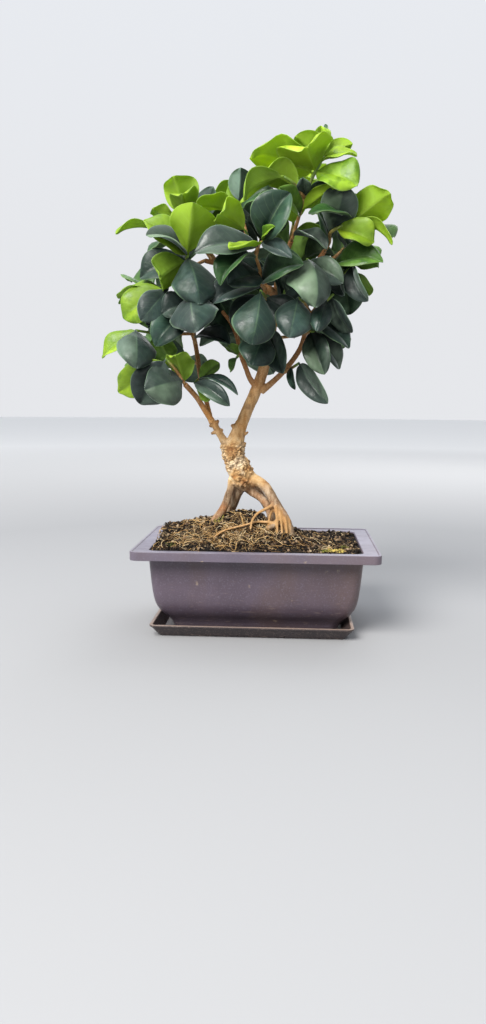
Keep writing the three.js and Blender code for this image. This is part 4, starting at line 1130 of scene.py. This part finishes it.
# Each shoot has the points of its stems and a row for each leaf: stem, place along its points, tip x, y, z,
# width, turn, arch, cup, age from 0 old to 1 young (below 0 an old leaf painted pale, as a painted
# reflection),
# and a shape where it is unusual: 0.8 is widest nearer the stem, 1.4 nearer the tip
FRONT_SHOOTS = {
    "shoot_top": ([
        [(25, -14, 319), (30, -22, 333), (35, -30, 349), (41, -34, 363), (47, -34, 374), (49, -32, 381)],
        [(35, -30, 349), (27, -44, 356), (19, -50, 360)],
    ], [
        (0, 3.4, 35, -60, 381, 46, 180, 50, 24, 1, 1.2),
        (0, 3.2, -8, -52, 372, 37, 130, 62, 12, 1, 0.85),
        (0, 4.8, 47, -30, 403, 18, 10, -25, 40, 0.85),
        (0, 4.3, 29, -38, 395, 24, 150, 12, 22, 0.95),
        (0, 4.8, 72, -28, 390, 16, -130, 40, 30, 0.95),
        (0, 4.2, 75, -42, 378, 20, -60, 45, 25, 0.95),
        (0, 3.4, 75, -54, 353, 36, -34, 35, 20, 0.74, 1.25),
        (0, 5, 57, -12, 409, 12, 70, 12, 16, 0.35),
        (1, 0.5, 5, -54, 364, 26, 150, 38, 25, 0.9),
        (1, 2, -12, -70, 338, 28, 125, 62, 22, 0.85),
        (0, 1.2, 16, -58, 350, 21, 36, 38, 28, 0.66),
        (0, 1.4, 60, -54, 352, 17, -150, 25, 40, 0.95),
        (0, 0.3, 53, -48, 307, 19, -55, 45, 30, -0.5),
        (0, 2.3, 53, -42, 364, 16, -70, 19, 16, -0.5),
        (0, 2.1, 36, -48, 354, 13, 20, 12, 16, -0.5),
    ]),
    "shoot_top_right": ([
        [(53, 8, 315), (56, -12, 318), (56, -30, 322), (62, -36, 325), (72, -36, 330), (77, -36, 332)],
    ], [
        (0, 1.7, 65, -56, 352, 30, 5, 35, -14, -0.8, 1.3),
        (0, 4.6, 100, -54, 347, 35, -168, 16, 30, 1, 0.66),
        (0, 4.2, 107, -40, 322, 18, -110, 55, 30, 0.95),
        (0, 4.3, 38, -56, 332, 20, 70, 45, 26, 0.45),
        (0, 1, 46, -36, 338, 24, 75, 25, 22, 0.4),
        (0, 2.7, 90, -40, 313, 24, -60, 45, 30, 0.85),
    ]),
    "shoot_mid_right": ([
        [(35, 14, 291), (37, -8, 297), (38, -30, 300), (38, -42, 300)],
    ], [
        (0, 2.8, 46, -72, 260, 39, -20, 80, -22, -0.6, 0.75),
        (0, 1.8, 66, -48, 282, 26, -40, 50, 30, -0.5),
    ]),
    "shoot_right": ([
        [(48, 11, 308), (59, -8, 296), (67, -16, 293), (75, -24, 298)],
    ], [
        (0, 0.9, 97, -40, 300, 30, -50, 60, 30, 0.52),
        (0, 3, 86, -40, 268, 21, 40, 75, 34, -0.3),
        (0, 2, 74, -12, 260, 30, 0, 31, 16, 0.35),
        (0, 1.6, 67, -38, 273, 18, 30, 38, 38, -0.4),
        (0, 2.2, 82, -14, 312, 24, -60, 31, 16, 0.5),
    ]),
    "shoot_right_low": ([
        [(38, -16, 253), (42, -26, 260), (48, -36, 266), (55, -38, 270), (59, -36, 274)],
        [(42, -26, 260), (36, -38, 267), (31, -46, 270)],
    ], [
        (1, 2, 25, -66, 238, 34, 0, 52, -24, 0.12, 0.8),
        (0, 2.8, 46, -62, 244, 19, 10, 50, -25, 0.1, 0.9),
        (0, 0.8, 74, -30, 233, 29, -42, 42, 26, 0.2),
        (0, 3.6, 75, -30, 244, 18, 50, 45, 30, -0.4, 0.85),
        (0, 4, 76, -20, 266, 30, -10, 25, 22, 0.4),
    ]),
    "shoot_low_right": ([
        [(37, -14, 244), (41, -24, 246), (45, -30, 245)],
    ], [
        (0, 1.2, 53, -44, 211, 25, 10, 48, 28, -0.6),
        (0, 2, 67, -24, 216, 20, -30, 31, 26, -0.5),
    ]),
    "shoot_hanging": ([
        [(21, -3, 214), (25, -14, 216), (30, -18, 219), (33, -20, 221)],
    ], [
        (0, 3, 56, -38, 188, 21, 18, 42, 28, -0.3, 0.9),
        (0, 1.4, 30, -24, 199, 8, 20, 100, 40, 0.2),
    ]),
    "shoot_centre_low": ([
        [(12, 6, 263), (10, -14, 267), (7, -32, 270), (4, -48, 273), (2, -56, 274)],
    ], [
        (0, 3.9, -3, -78, 232, 38, -10, 48, -24, 0.15, 1.2),
        (0, 2.4, 34, -52, 252, 28, -10, 38, 16, 0.1),
        (0, 2, -22, -44, 250, 28, 20, 38, 16, 0.1),
    ]),
    "shoot_low_centre": ([
        [(10, 7, 250), (9, -10, 249), (7, -24, 249), (5, -32, 246)],
    ], [
        (0, 2.9, -4, -58, 218, 33, 0, 50, -24, 0.12),
        (0, 1.2, 20, -34, 212, 22, 20, 35, 18, 0.15),
    ]),
    "shoot_inner_left": ([
        [(-16, -8, 230), (-17, -20, 227), (-18, -24, 225)],
    ], [
        (0, 1, -25, -32, 234, 12, 160, 25, 27, 0.6),
        (0, 2, -23, -34, 214, 11, 140, 25, 27, 0.5),
    ]),
    "shoot_centre": ([
        [(6, -20, 279), (2, -36, 282), (1, -44, 292), (-2, -52, 302), (1, -56, 309), (4, -58, 311)],
    ], [
        (0, 3.8, -47, -74, 301, 33, 42, 45, 22, -0.45),
        (0, 4.6, -20, -86, 302, 20, 60, -25, 28, 0.92),
        (0, 5, 13, -78, 318, 10, -60, 40, 40, 0.7),
        (0, 5, 19, -78, 343, 38, -42, 45, 34, 0.26),
        (0, 2.8, -28, -76, 276, 25, 50, 85, 30, 0.45, 1.2),
        (0, 1, 34, -66, 294, 30, -48, 45, 30, 0.38),
        (0, 1.6, -22, -66, 279, 28, 20, 38, 16, 0.1),
        (0, 0.9, -36, -56, 266, 30, 50, 45, 18, 0),
        (0, 4.4, 26, -74, 296, 14, -20, 38, 22, 0.05),
    ]),
    "shoot_mid_top": ([
        [(-17, 9, 298), (-13, -10, 310), (-10, -28, 320), (-11, -36, 323)],
        [(-10, -28, 320), (-15, -20, 337), (-18, -14, 350)],
    ], [
        (0, 3, -29, -66, 330, 30, 160, 30, 34, 0.95),
        (1, 2, -16, -20, 375, 22, 175, 15, 18, -0.4),
        (1, 1.6, -30, -10, 364, 16, 160, 12, 27, 0.75),
        (1, 1, -52, -40, 341, 26, 120, 38, 27, 0.95),
        (1, 1.4, 10, -26, 358, 28, -60, 31, 22, 0.4),
    ]),
    "shoot_left_top": ([
        [(-47, 0, 306), (-55, -20, 299), (-58, -34, 300), (-56, -40, 304)],
    ], [
        (0, 3, -49, -66, 338, 42, 180, -40, 32, 0.95, 1.4),
        (0, 2.8, -86, -60, 316, 28, 58, 60, 24, -0.7, 1.2),
        (0, 2.6, -90, -46, 330, 30, 60, 25, 22, 0.85),
        (0, 2.1, -76, -62, 282, 33, 152, 32, 26, 0.8),
        (0, 2.4, -43, -68, 263, 43, -18, 74, -24, 0.1),
        (0, 1.2, -98, -26, 289, 30, 30, 50, 20, 0.2),
        (0, 1.8, -59, -48, 288, 10, 30, 25, 38, 0.7),
    ]),
    "shoot_left_top_back": ([
        [(-40, 3, 305), (-52, 6, 322), (-61, 2, 335), (-63, -4, 340)],
        [(-61, 2, 335), (-75, 2, 334), (-86, 0, 331)],
    ], [
        (0, 3, -70, -18, 370, 38, 170, 12, 34, 0.95, 1.2),
        (0, 2.5, -62, -28, 354, 30, 160, 25, 38, 0.9),
        (1, 1, -89, -8, 348, 23, 140, 19, 22, 0.9),
        (1, 2, -120, -12, 326, 18, 95, 55, 30, 0.85),
        (0, 2, -40, 4, 366, 22, 165, 15, 20, -0.3),
    ]),
    "shoot_left_centre": ([
        [(-55, 0, 237), (-55, -18, 258), (-54, -42, 269), (-53, -50, 272)],
    ], [
        (0, 3, -46, -76, 241, 44, 0, 70, -26, 0.08, 0.62),
        (0, 0.25, -23, -36, 236, 23, -56, 35, 30, 0.05),
        (0, 1.4, -82, -50, 233, 30, 30, 50, 28, 0.2),
        (0, 1.9, -76, -48, 258, 26, 20, 31, 16, -0.2),
    ]),
    "shoot_left_mid": ([
        [(-80, -14, 267), (-76, -28, 276), (-73, -36, 278)],
    ], [
        (0, 2, -92, -60, 252, 29, 10, 56, -10, 0.05),
        (0, 1.6, -111, -34, 256, 34, 30, 30, 18, 0.9),
        (0, 1.2, -119, -22, 283, 22, 50, 35, 34, 0.8),
        (0, 0.9, -81, -52, 256, 18, -20, 25, 22, 0.1),
        (0, 0.6, -84, -44, 240, 16, 20, 25, 22, 0.1),
    ]),
    "shoot_left_low": ([
        [(-57, 0, 246), (-74, -10, 245), (-89, -22, 245), (-100, -32, 246)],
    ], [
        (0, 3, -94, -60, 215, 36, -18, 62, -26, -0.25, 0.85),
        (0, 2.8, -129, -30, 224, 24, 40, 31, 20, 0.9),
        (0, 1.8, -72, -28, 222, 26, 150, 25, 22, 0.6),
    ]),
    "shoot_bottom_left": ([
        [(-60, -30, 203), (-65, -36, 212), (-71, -42, 220), (-74, -44, 223)],
    ], [
        (0, 0.3, -88, -60, 198, 37, 12, 58, -14, -0.5, 0.8),
        (0, 2.9, -97, -35, 186, 35, 0, 30, 14, -0.2),
        (0, 2.6, -118, -34, 196, 29, 20, 24, 10, 0.9),
        (0, 0.1, -65, -50, 226, 28, 170, 25, 32, 0.85),
    ]),
    "shoot_lower_left": ([
        [(-49.3, -3.8, 206), (-51, -14, 207), (-53, -22, 204)],
    ], [
        (0, 1, -16, -36, 195, 14, -60, 70, 28, 0.1),
        (0, 2, -22, -44, 186, 17, -45, 62, 28, -0.2),
        (0, 1.5, -38, -34, 190, 16, 150, 25, 27, 0.7),
        (0, 0.8, -33, -20, 222, 15, -150, 25, 27, 0.6),
    ]),
}

# Shoots inside and behind the crown: name, age and number of the leaves, and the points of the stem
BACK_SHOOTS = [
    ("shoot_back_top", 0.6, 6, [(17, 1, 298), (22, 20, 320), (27, 30, 344), (32, 26, 366)]),
    ("shoot_back_right", 0.35, 6, [(28, 14, 281), (48, 34, 288), (68, 44, 300), (82, 44, 314)]),
    ("shoot_back_low_right", 0.15, 6, [(9, 7, 243), (26, 24, 246), (46, 34, 252), (62, 34, 264)]),
    ("shoot_back_middle", 0.3, 5, [(12, 7, 270), (2, 32, 270), (-6, 50, 284), (-10, 58, 302)]),
    ("shoot_back_low", 0.12, 5, [(4, 5, 224), (-2, 24, 232), (-12, 42, 240), (-24, 52, 252)]),
    ("shoot_back_left_top", 0.55, 6, [(-28, 8, 302), (-36, 26, 318), (-42, 36, 336), (-43, 34, 344)]),
    ("shoot_back_left", 0.3, 5, [(-65, -4, 254), (-70, 22, 256), (-86, 34, 268), (-98, 34, 284)]),
    ("shoot_back_left_low", 0.2, 5, [(-52, -1, 222), (-62, 18, 222), (-76, 32, 226), (-92, 34, 236)]),
    ("shoot_inner_right", 0.35, 5, [(43, 14, 301), (62, 20, 312), (76, 16, 326), (84, 6, 338)]),
    ("shoot_inner_middle", 0.15, 6, [(-7, 10, 294), (-4, 18, 316), (2, 18, 336), (8, 12, 352)]),
    ("shoot_back_centre", 0.25, 5, [(13, 5, 284), (20, 36, 292), (28, 54, 306), (32, 58, 324)]),
    ("shoot_inner_left_top", 0.15, 4, [(-32, 7, 302), (-35, -4, 293), (-39, -12, 282)]),
    ("shoot_inner_left_back", 0.3, 5, [(-36, 4, 304), (-42, -7, 311), (-52, -10, 317), (-62, -10, 325)]),
    ("shoot_inner_low", 0.1, 5, [(10, 9, 254), (14, -4, 262), (18, -12, 272), (22, -18, 284)]),
]

# The share of its stems up to which a shoot is woody
WOODY_USUALLY = 0.6
WOODY_TO = {"shoot_top": 0.45, "shoot_top_right": 0.5, "shoot_centre": 1.3, "shoot_left_top": 0.7}

# What was tried to fit a leaf in, and how near a corner of its solid has to be, in millimetres
SHORTEN_TRIES = (1, 0.9, 0.8)
BEND_TRIES = (0, 6, -6, 12, -12)
TURN_TRIES = (0, 14, -14, 28, -28)
SAME_PLACE = 0.08


def draw(first, second):
    """A number from 0 to 1 that always comes out the same for the same two numbers."""
    value = math.sin(first * 12.9898 + second * 78.233) * 43758.5453
    return value - math.floor(value)


def path_point(stem, place):
    """The point at a place along the stem, counted in its given points from 0."""
    before = min(math.floor(place), len(stem) - 2)
    start = np.array(stem[before], dtype=float)
    return start + (np.array(stem[before + 1], dtype=float) - start) * (place - before)


def front_leaves(stems, rows):
    """The leaves from their rows, each with its base on a stem."""
    leaves = []
    for stem, place, x, y, z, width, turn, arch, cup, age, *shape in rows:
        base = path_point(stems[stem], place)
        tip = np.array([x, y, z], dtype=float)
        leaves.append({
            "base": base,
            "tip": tip,
            "width": width,
            "arch": arch,
            "cup": cup,
            "face": face_from_turn(base, tip, turn),
            "age": age,
            "shape": shape[0] if shape else USUAL_SHAPE,
        })
    return leaves


def back_leaves(stem, count, age, seed):
    """Pairs of leaves stand across from each other and close up towards the tip of the shoot."""
    leaves = []
    for k in range(count):
        share = k / (count - 1)
        place = (len(stem) - 1) * (0.36 + 0.64 * share)
        base = path_point(stem, place)
        along = unit(base - path_point(stem, max(0, place - 0.5)))
        level = unit(np.cross((0, 0, 1), along))
        upward = np.cross(along, level)
        around = math.radians(180 * (k % 2) + 90 * (k // 2) + 50 * draw(seed, k))
        lean = math.radians(78 - 34 * share + 12 * draw(seed, k + 20))
        way = turned(along, turned(level, upward, around), lean)
        length = 34 + 8 * draw(seed, k + 40)
        leaves.append({
            "base": base,
            "tip": base + way * length,
            "width": length * (0.76 + 0.12 * draw(seed, k + 60)),
            "face": unit(along + np.array([0, 0, 0.5])),
            "arch": 28 + 32 * draw(seed, k + 80),
            "cup": 12 + 20 * draw(seed, k + 100),
            "age": age + 0.3 * (draw(seed, k + 120) - 0.3) + 0.25 * share,
            "shape": USUAL_SHAPE,
        })
    return leaves


def bent_leaf(leaf, shorten, bend, turn):
    """The leaf with its tip drawn in, bent up by some millimetres and turned by some degrees."""
    chord = leaf["tip"] - leaf["base"]
    way = unit(chord)
    up = unit(leaf["face"] - way * leaf["face"].dot(way))
    tip = leaf["base"] + chord * shorten + up * bend
    new_way = unit(tip - leaf["base"])
    new_up = unit(up - new_way * up.dot(new_way))
    face = turned(new_up, np.cross(new_way, new_up), math.radians(turn))
    return {**leaf, "tip": tip, "face": face, "width": leaf["width"] * shorten}


def solid_corners(leaf):
    """The corners that the leaf's solid has half way, near its tip and at its tip."""
    u = np.array([0.48] * 4 + [0.8] * 4 + [1] * 2)
    v = np.array([-1.0, 1.0] * 4 + [0.0] * 2)
    lift = SOLID_BLADE_THICKNESS * np.array([0.5, 0.5, -0.5, -0.5] * 2 + [0.5, -0.5])
    half = np.maximum(leaf["width"] / 2 * blade_share(u, leaf["shape"]), SOLID_PETIOLE_HALF)
    return Blade(leaf).at(u, v, half, lift)


def leaf_as_built(leaf, corners):
    """The variant of the leaf that the solid was built with, or None if there was no room for the leaf."""
    best = None
    best_hits = 4
    for tries in itertools.product(SHORTEN_TRIES, BEND_TRIES, TURN_TRIES):
        tried = bent_leaf(leaf, *tries)
        hits = sum(corners.find(p)[2] < SAME_PLACE for p in solid_corners(tried))
        if hits > best_hits:
            best = tried
            best_hits = hits
    return best


ROWS_ALONG = np.array([
    0, 0.03, 0.06, 0.08, 0.11, 0.15, 0.2, 0.26, 0.33, 0.4, 0.47, 0.54, 0.61, 0.68, 0.75, 0.81, 0.865,
    0.91, 0.945, 0.972, 0.99, 1.0,
])
PLACES_ACROSS = np.array([
    -1, -0.96, -0.88, -0.76, -0.58, -0.36, -0.14, 0, 0.14, 0.36, 0.58, 0.76, 0.88, 0.96, 1,
])
LEAF_PAINT = 0
STEM_PAINT = 1
USUAL_WIDTH = 34
PETIOLE_HALF = 0.8
TIP_HALF = 0.25
BLUNTER_TIP = 0.24
BLADE_THICKNESS = 0.62
THINNER_MARGIN = 0.26
THICKER_STALK = 0.7
GROOVE_DEPTH = 0.75
RIB_DEPTH = 0.3
QUILT_HEIGHT = 0.16
ROLL_OLD = 2.3
ROLL_YOUNG = 1.8
WAVE_OLD = 1.3
WAVE_YOUNG = 2.6


def leaf_faces():
    """Faces of a leaf's upper side, underside and margin, with the points of a side counted row by row."""
    columns = len(PLACES_ACROSS)
    rows = len(ROWS_ALONG)
    count = rows * columns
    faces = []
    for i in range(rows - 1):
        for j in range(columns - 1):
            a = i * columns + j
            b = a + columns
            faces.append((a, a + 1, b + 1, b))
            faces.append((a + count, b + count, b + 1 + count, a + 1 + count))
    border = list(range(columns))
    border += [i * columns + columns - 1 for i in range(1, rows)]
    border += [(rows - 1) * columns + j for j in range(columns - 2, -1, -1)]
    border += [i * columns for i in range(rows - 2, 0, -1)]
    for a, b in zip(border, border[1:] + border[:1]):
        faces.append((b, a, a + count, b + count))
    return faces


LEAF_FACES = leaf_faces()


def leaf_form(leaf, u, v, half, young, rng):
    """How far each place of the blade lies off its smooth surface: the margins wave and roll back, the tip
    hooks down, and the blade is quilted, bulged, twisted and grooved."""
    aside = np.abs(v)
    scale = leaf["width"] / USUAL_WIDTH
    blade_part = smoothstep(0.06, 0.22, u) * (1 - smoothstep(0.95, 1.0, u))
    waves = rng.uniform(1.2, 2.4)
    phase = rng.uniform(0, 2 * math.pi)
    size = scale * rng.uniform(0.6, 1.25) * (WAVE_OLD + (WAVE_YOUNG - WAVE_OLD) * young)
    swing = np.sin(2 * math.pi * waves * u + phase + np.where(v > 0, rng.uniform(1.2, 2.6), 0))
    wave = size * swing * aside ** 2 * blade_part * (0.55 + 0.6 * u)
    roll = scale * (ROLL_OLD + (ROLL_YOUNG - ROLL_OLD) * young) * rng.uniform(0.6, 1.3)
    rolled = -roll * smoothstep(0.66, 1.1, aside) ** 1.2 * blade_part
    hooked = -roll * rng.uniform(0.6, 2.2) * smoothstep(0.76, 1.05, u) * (1 - 0.3 * aside)
    quilt = QUILT_HEIGHT * np.cos(2 * math.pi * (VEIN_PAIRS * u - VEIN_SLANT * aside))
    quilt = quilt * smoothstep(0.05, 0.3, aside) * (1 - aside)
    slope = math.sin(math.radians(leaf["cup"]))
    bulge = (0.35 * slope if slope > 0 else -0.3 * slope) * half * (aside - aside ** 1.8)
    twist = rng.normal(0, 0.13) * half * v * u ** 2
    uneven = np.where(v > 0, rng.normal(0, 0.13), rng.normal(0, 0.13)) * half * aside
    groove = -GROOVE_DEPTH * np.exp(-(aside / 0.11)) * blade_part
    return wave + rolled + hooked + (quilt + bulge + twist + uneven) * blade_part + groove


def fine_leaf(leaf, rng):
    """Points and numbers of a smooth thin leaf with a rib below. How crowded it is stays 0 here."""
    u, v = (grid.ravel() for grid in np.meshgrid(ROWS_ALONG, PLACES_ACROSS, indexing="ij"))
    age = float(np.clip(leaf["age"], -1, 1))
    sides = 1 + 0.05 * rng.normal() * np.sign(v)
    smallest = np.where(u < 0.5, PETIOLE_HALF, TIP_HALF)
    share = blade_share(u, leaf["shape"]) ** (1 - BLUNTER_TIP * smoothstep(0.45, 0.8, u))
    half = np.maximum(leaf["width"] / 2 * share * sides, smallest)
    form = leaf_form(leaf, u, v, half, smoothstep(0.3, 0.8, age), rng)
    rib = -RIB_DEPTH * np.exp(-((v / 0.07) ** 2)) * (1 - smoothstep(0.5, 1.0, u))
    thickness = BLADE_THICKNESS - THINNER_MARGIN * np.abs(v) ** 3
    thickness = thickness + THICKER_STALK * (1 - smoothstep(0.05, 0.14, u))
    blade = Blade(leaf)
    top = blade.at(u, v, half, form + thickness / 2)
    below = blade.at(u, v, half, form + rib - thickness / 2)
    places = np.tile(np.stack([u, v, np.zeros(len(u))], axis=1), (2, 1))
    kinds = np.tile((age, 0.0, rng.random()), (len(places), 1))
    kinds[len(u):, 1] = 1.0
    return np.concatenate([top, below]), places, kinds


class Shoot:
    """One leafy shoot: its stems first, and then its leaves as the solid has them."""

    def __init__(self, name, stems, leaves, rng, woody_to=WOODY_USUALLY):
        self.name = name
        self.body = Builder()
        self.stem_count = len(stems)
        corners = tree_of([vertex.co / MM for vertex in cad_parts[name].data.vertices])
        for stem in stems:
            self.add_stem(stem, woody_to)
        for leaf in leaves:
            built = leaf_as_built(leaf, corners)
            draws = rng.spawn(1)[0]
            if built is None:
                print("no room:", name)
            else:
                points, places, kinds = fine_leaf(built, draws)
                self.body.add(points, LEAF_FACES, LEAF_PAINT, leaf=places, kind=kinds)

    def add_stem(self, stem, woody_to):
        """A stem that gets thinner, and is woody up to a share of its length."""
        last = len(stem) - 1
        rows = [(*p, STEM_RADIUS * (1.15 - 0.35 * i / last)) for i, p in enumerate(stem)]
        points, faces, share = tube(rows, 9, 5)
        woody = 1 - smoothstep(woody_to - 0.25, woody_to + 0.25, share)
        places = np.stack([share, woody, np.zeros(len(share))], axis=1)
        self.body.add(points, faces, STEM_PAINT, leaf=places, kind=0)

    def shade(self, crown):
        """Fills in, for both faces of each leaf, how crowded each place of its upper face is, which the leaf's
        material paints as shade.
        """
        parts = zip(self.body.points, self.body.values["leaf"])
        for points, places in list(parts)[self.stem_count:]:
            crowded = crowding(points[:len(points) // 2], crown)
            places[:, 2] = np.tile(crowded, 2)

    def make(self, materials):
        piece = self.body.piece(self.name.replace("shoot", "leafy"), "leaf", materials)
        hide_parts(self.name)


# Ways along which light comes into the crown
LIGHT_WAYS = [
    unit(np.array(way))
    for way in [(0, 0, 1), (0.5, -0.5, 0.8), (-0.5, -0.5, 0.8), (0.5, 0.5, 0.8), (-0.5, 0.5, 0.8),
                (0, -1, 0.25), (-0.8, -0.7, 0.3), (0.8, -0.7, 0.3)]
]
LIGHT_START = 1.6
LIGHT_REACH = 60


def crowding(points, crown):
    """For each point, the share of the ways of light that other leaves block."""
    blocked = np.zeros(len(points))
    for way in LIGHT_WAYS:
        heading = Vector(way)
        for index, start in enumerate(points + way * LIGHT_START):
            if crown.ray_cast(start, heading, LIGHT_REACH)[0] is not None:
                blocked[index] += 1
    return blocked / len(LIGHT_WAYS)


def make_crown():
    rng = np.random.default_rng(SEED + 4)
    shoots = []
    for name, (stems, rows) in FRONT_SHOOTS.items():
        woody_to = WOODY_TO.get(name, WOODY_USUALLY)
        shoots.append(Shoot(name, stems, front_leaves(stems, rows), rng, woody_to))
    for seed, (name, age, count, stem) in enumerate(BACK_SHOOTS, 1):
        shoots.append(Shoot(name, [stem], back_leaves(stem, count, age, seed), rng))
    whole = Builder()
    for shoot in shoots:
        whole.add(np.concatenate(shoot.body.points), shoot.body.faces)
    crown = BVHTree.FromPolygons(np.concatenate(whole.points).tolist(), whole.faces)
    materials = [leaf_material(), stem_material()]
    for shoot in shoots:
        shoot.shade(crown)
        shoot.make(materials)


# Whole scene

make_camera()
make_studio()
make_floor()
make_pot()
make_tray()
make_ground()
make_crumbs()
make_fibres()
make_moss()
make_wood()
make_crown()
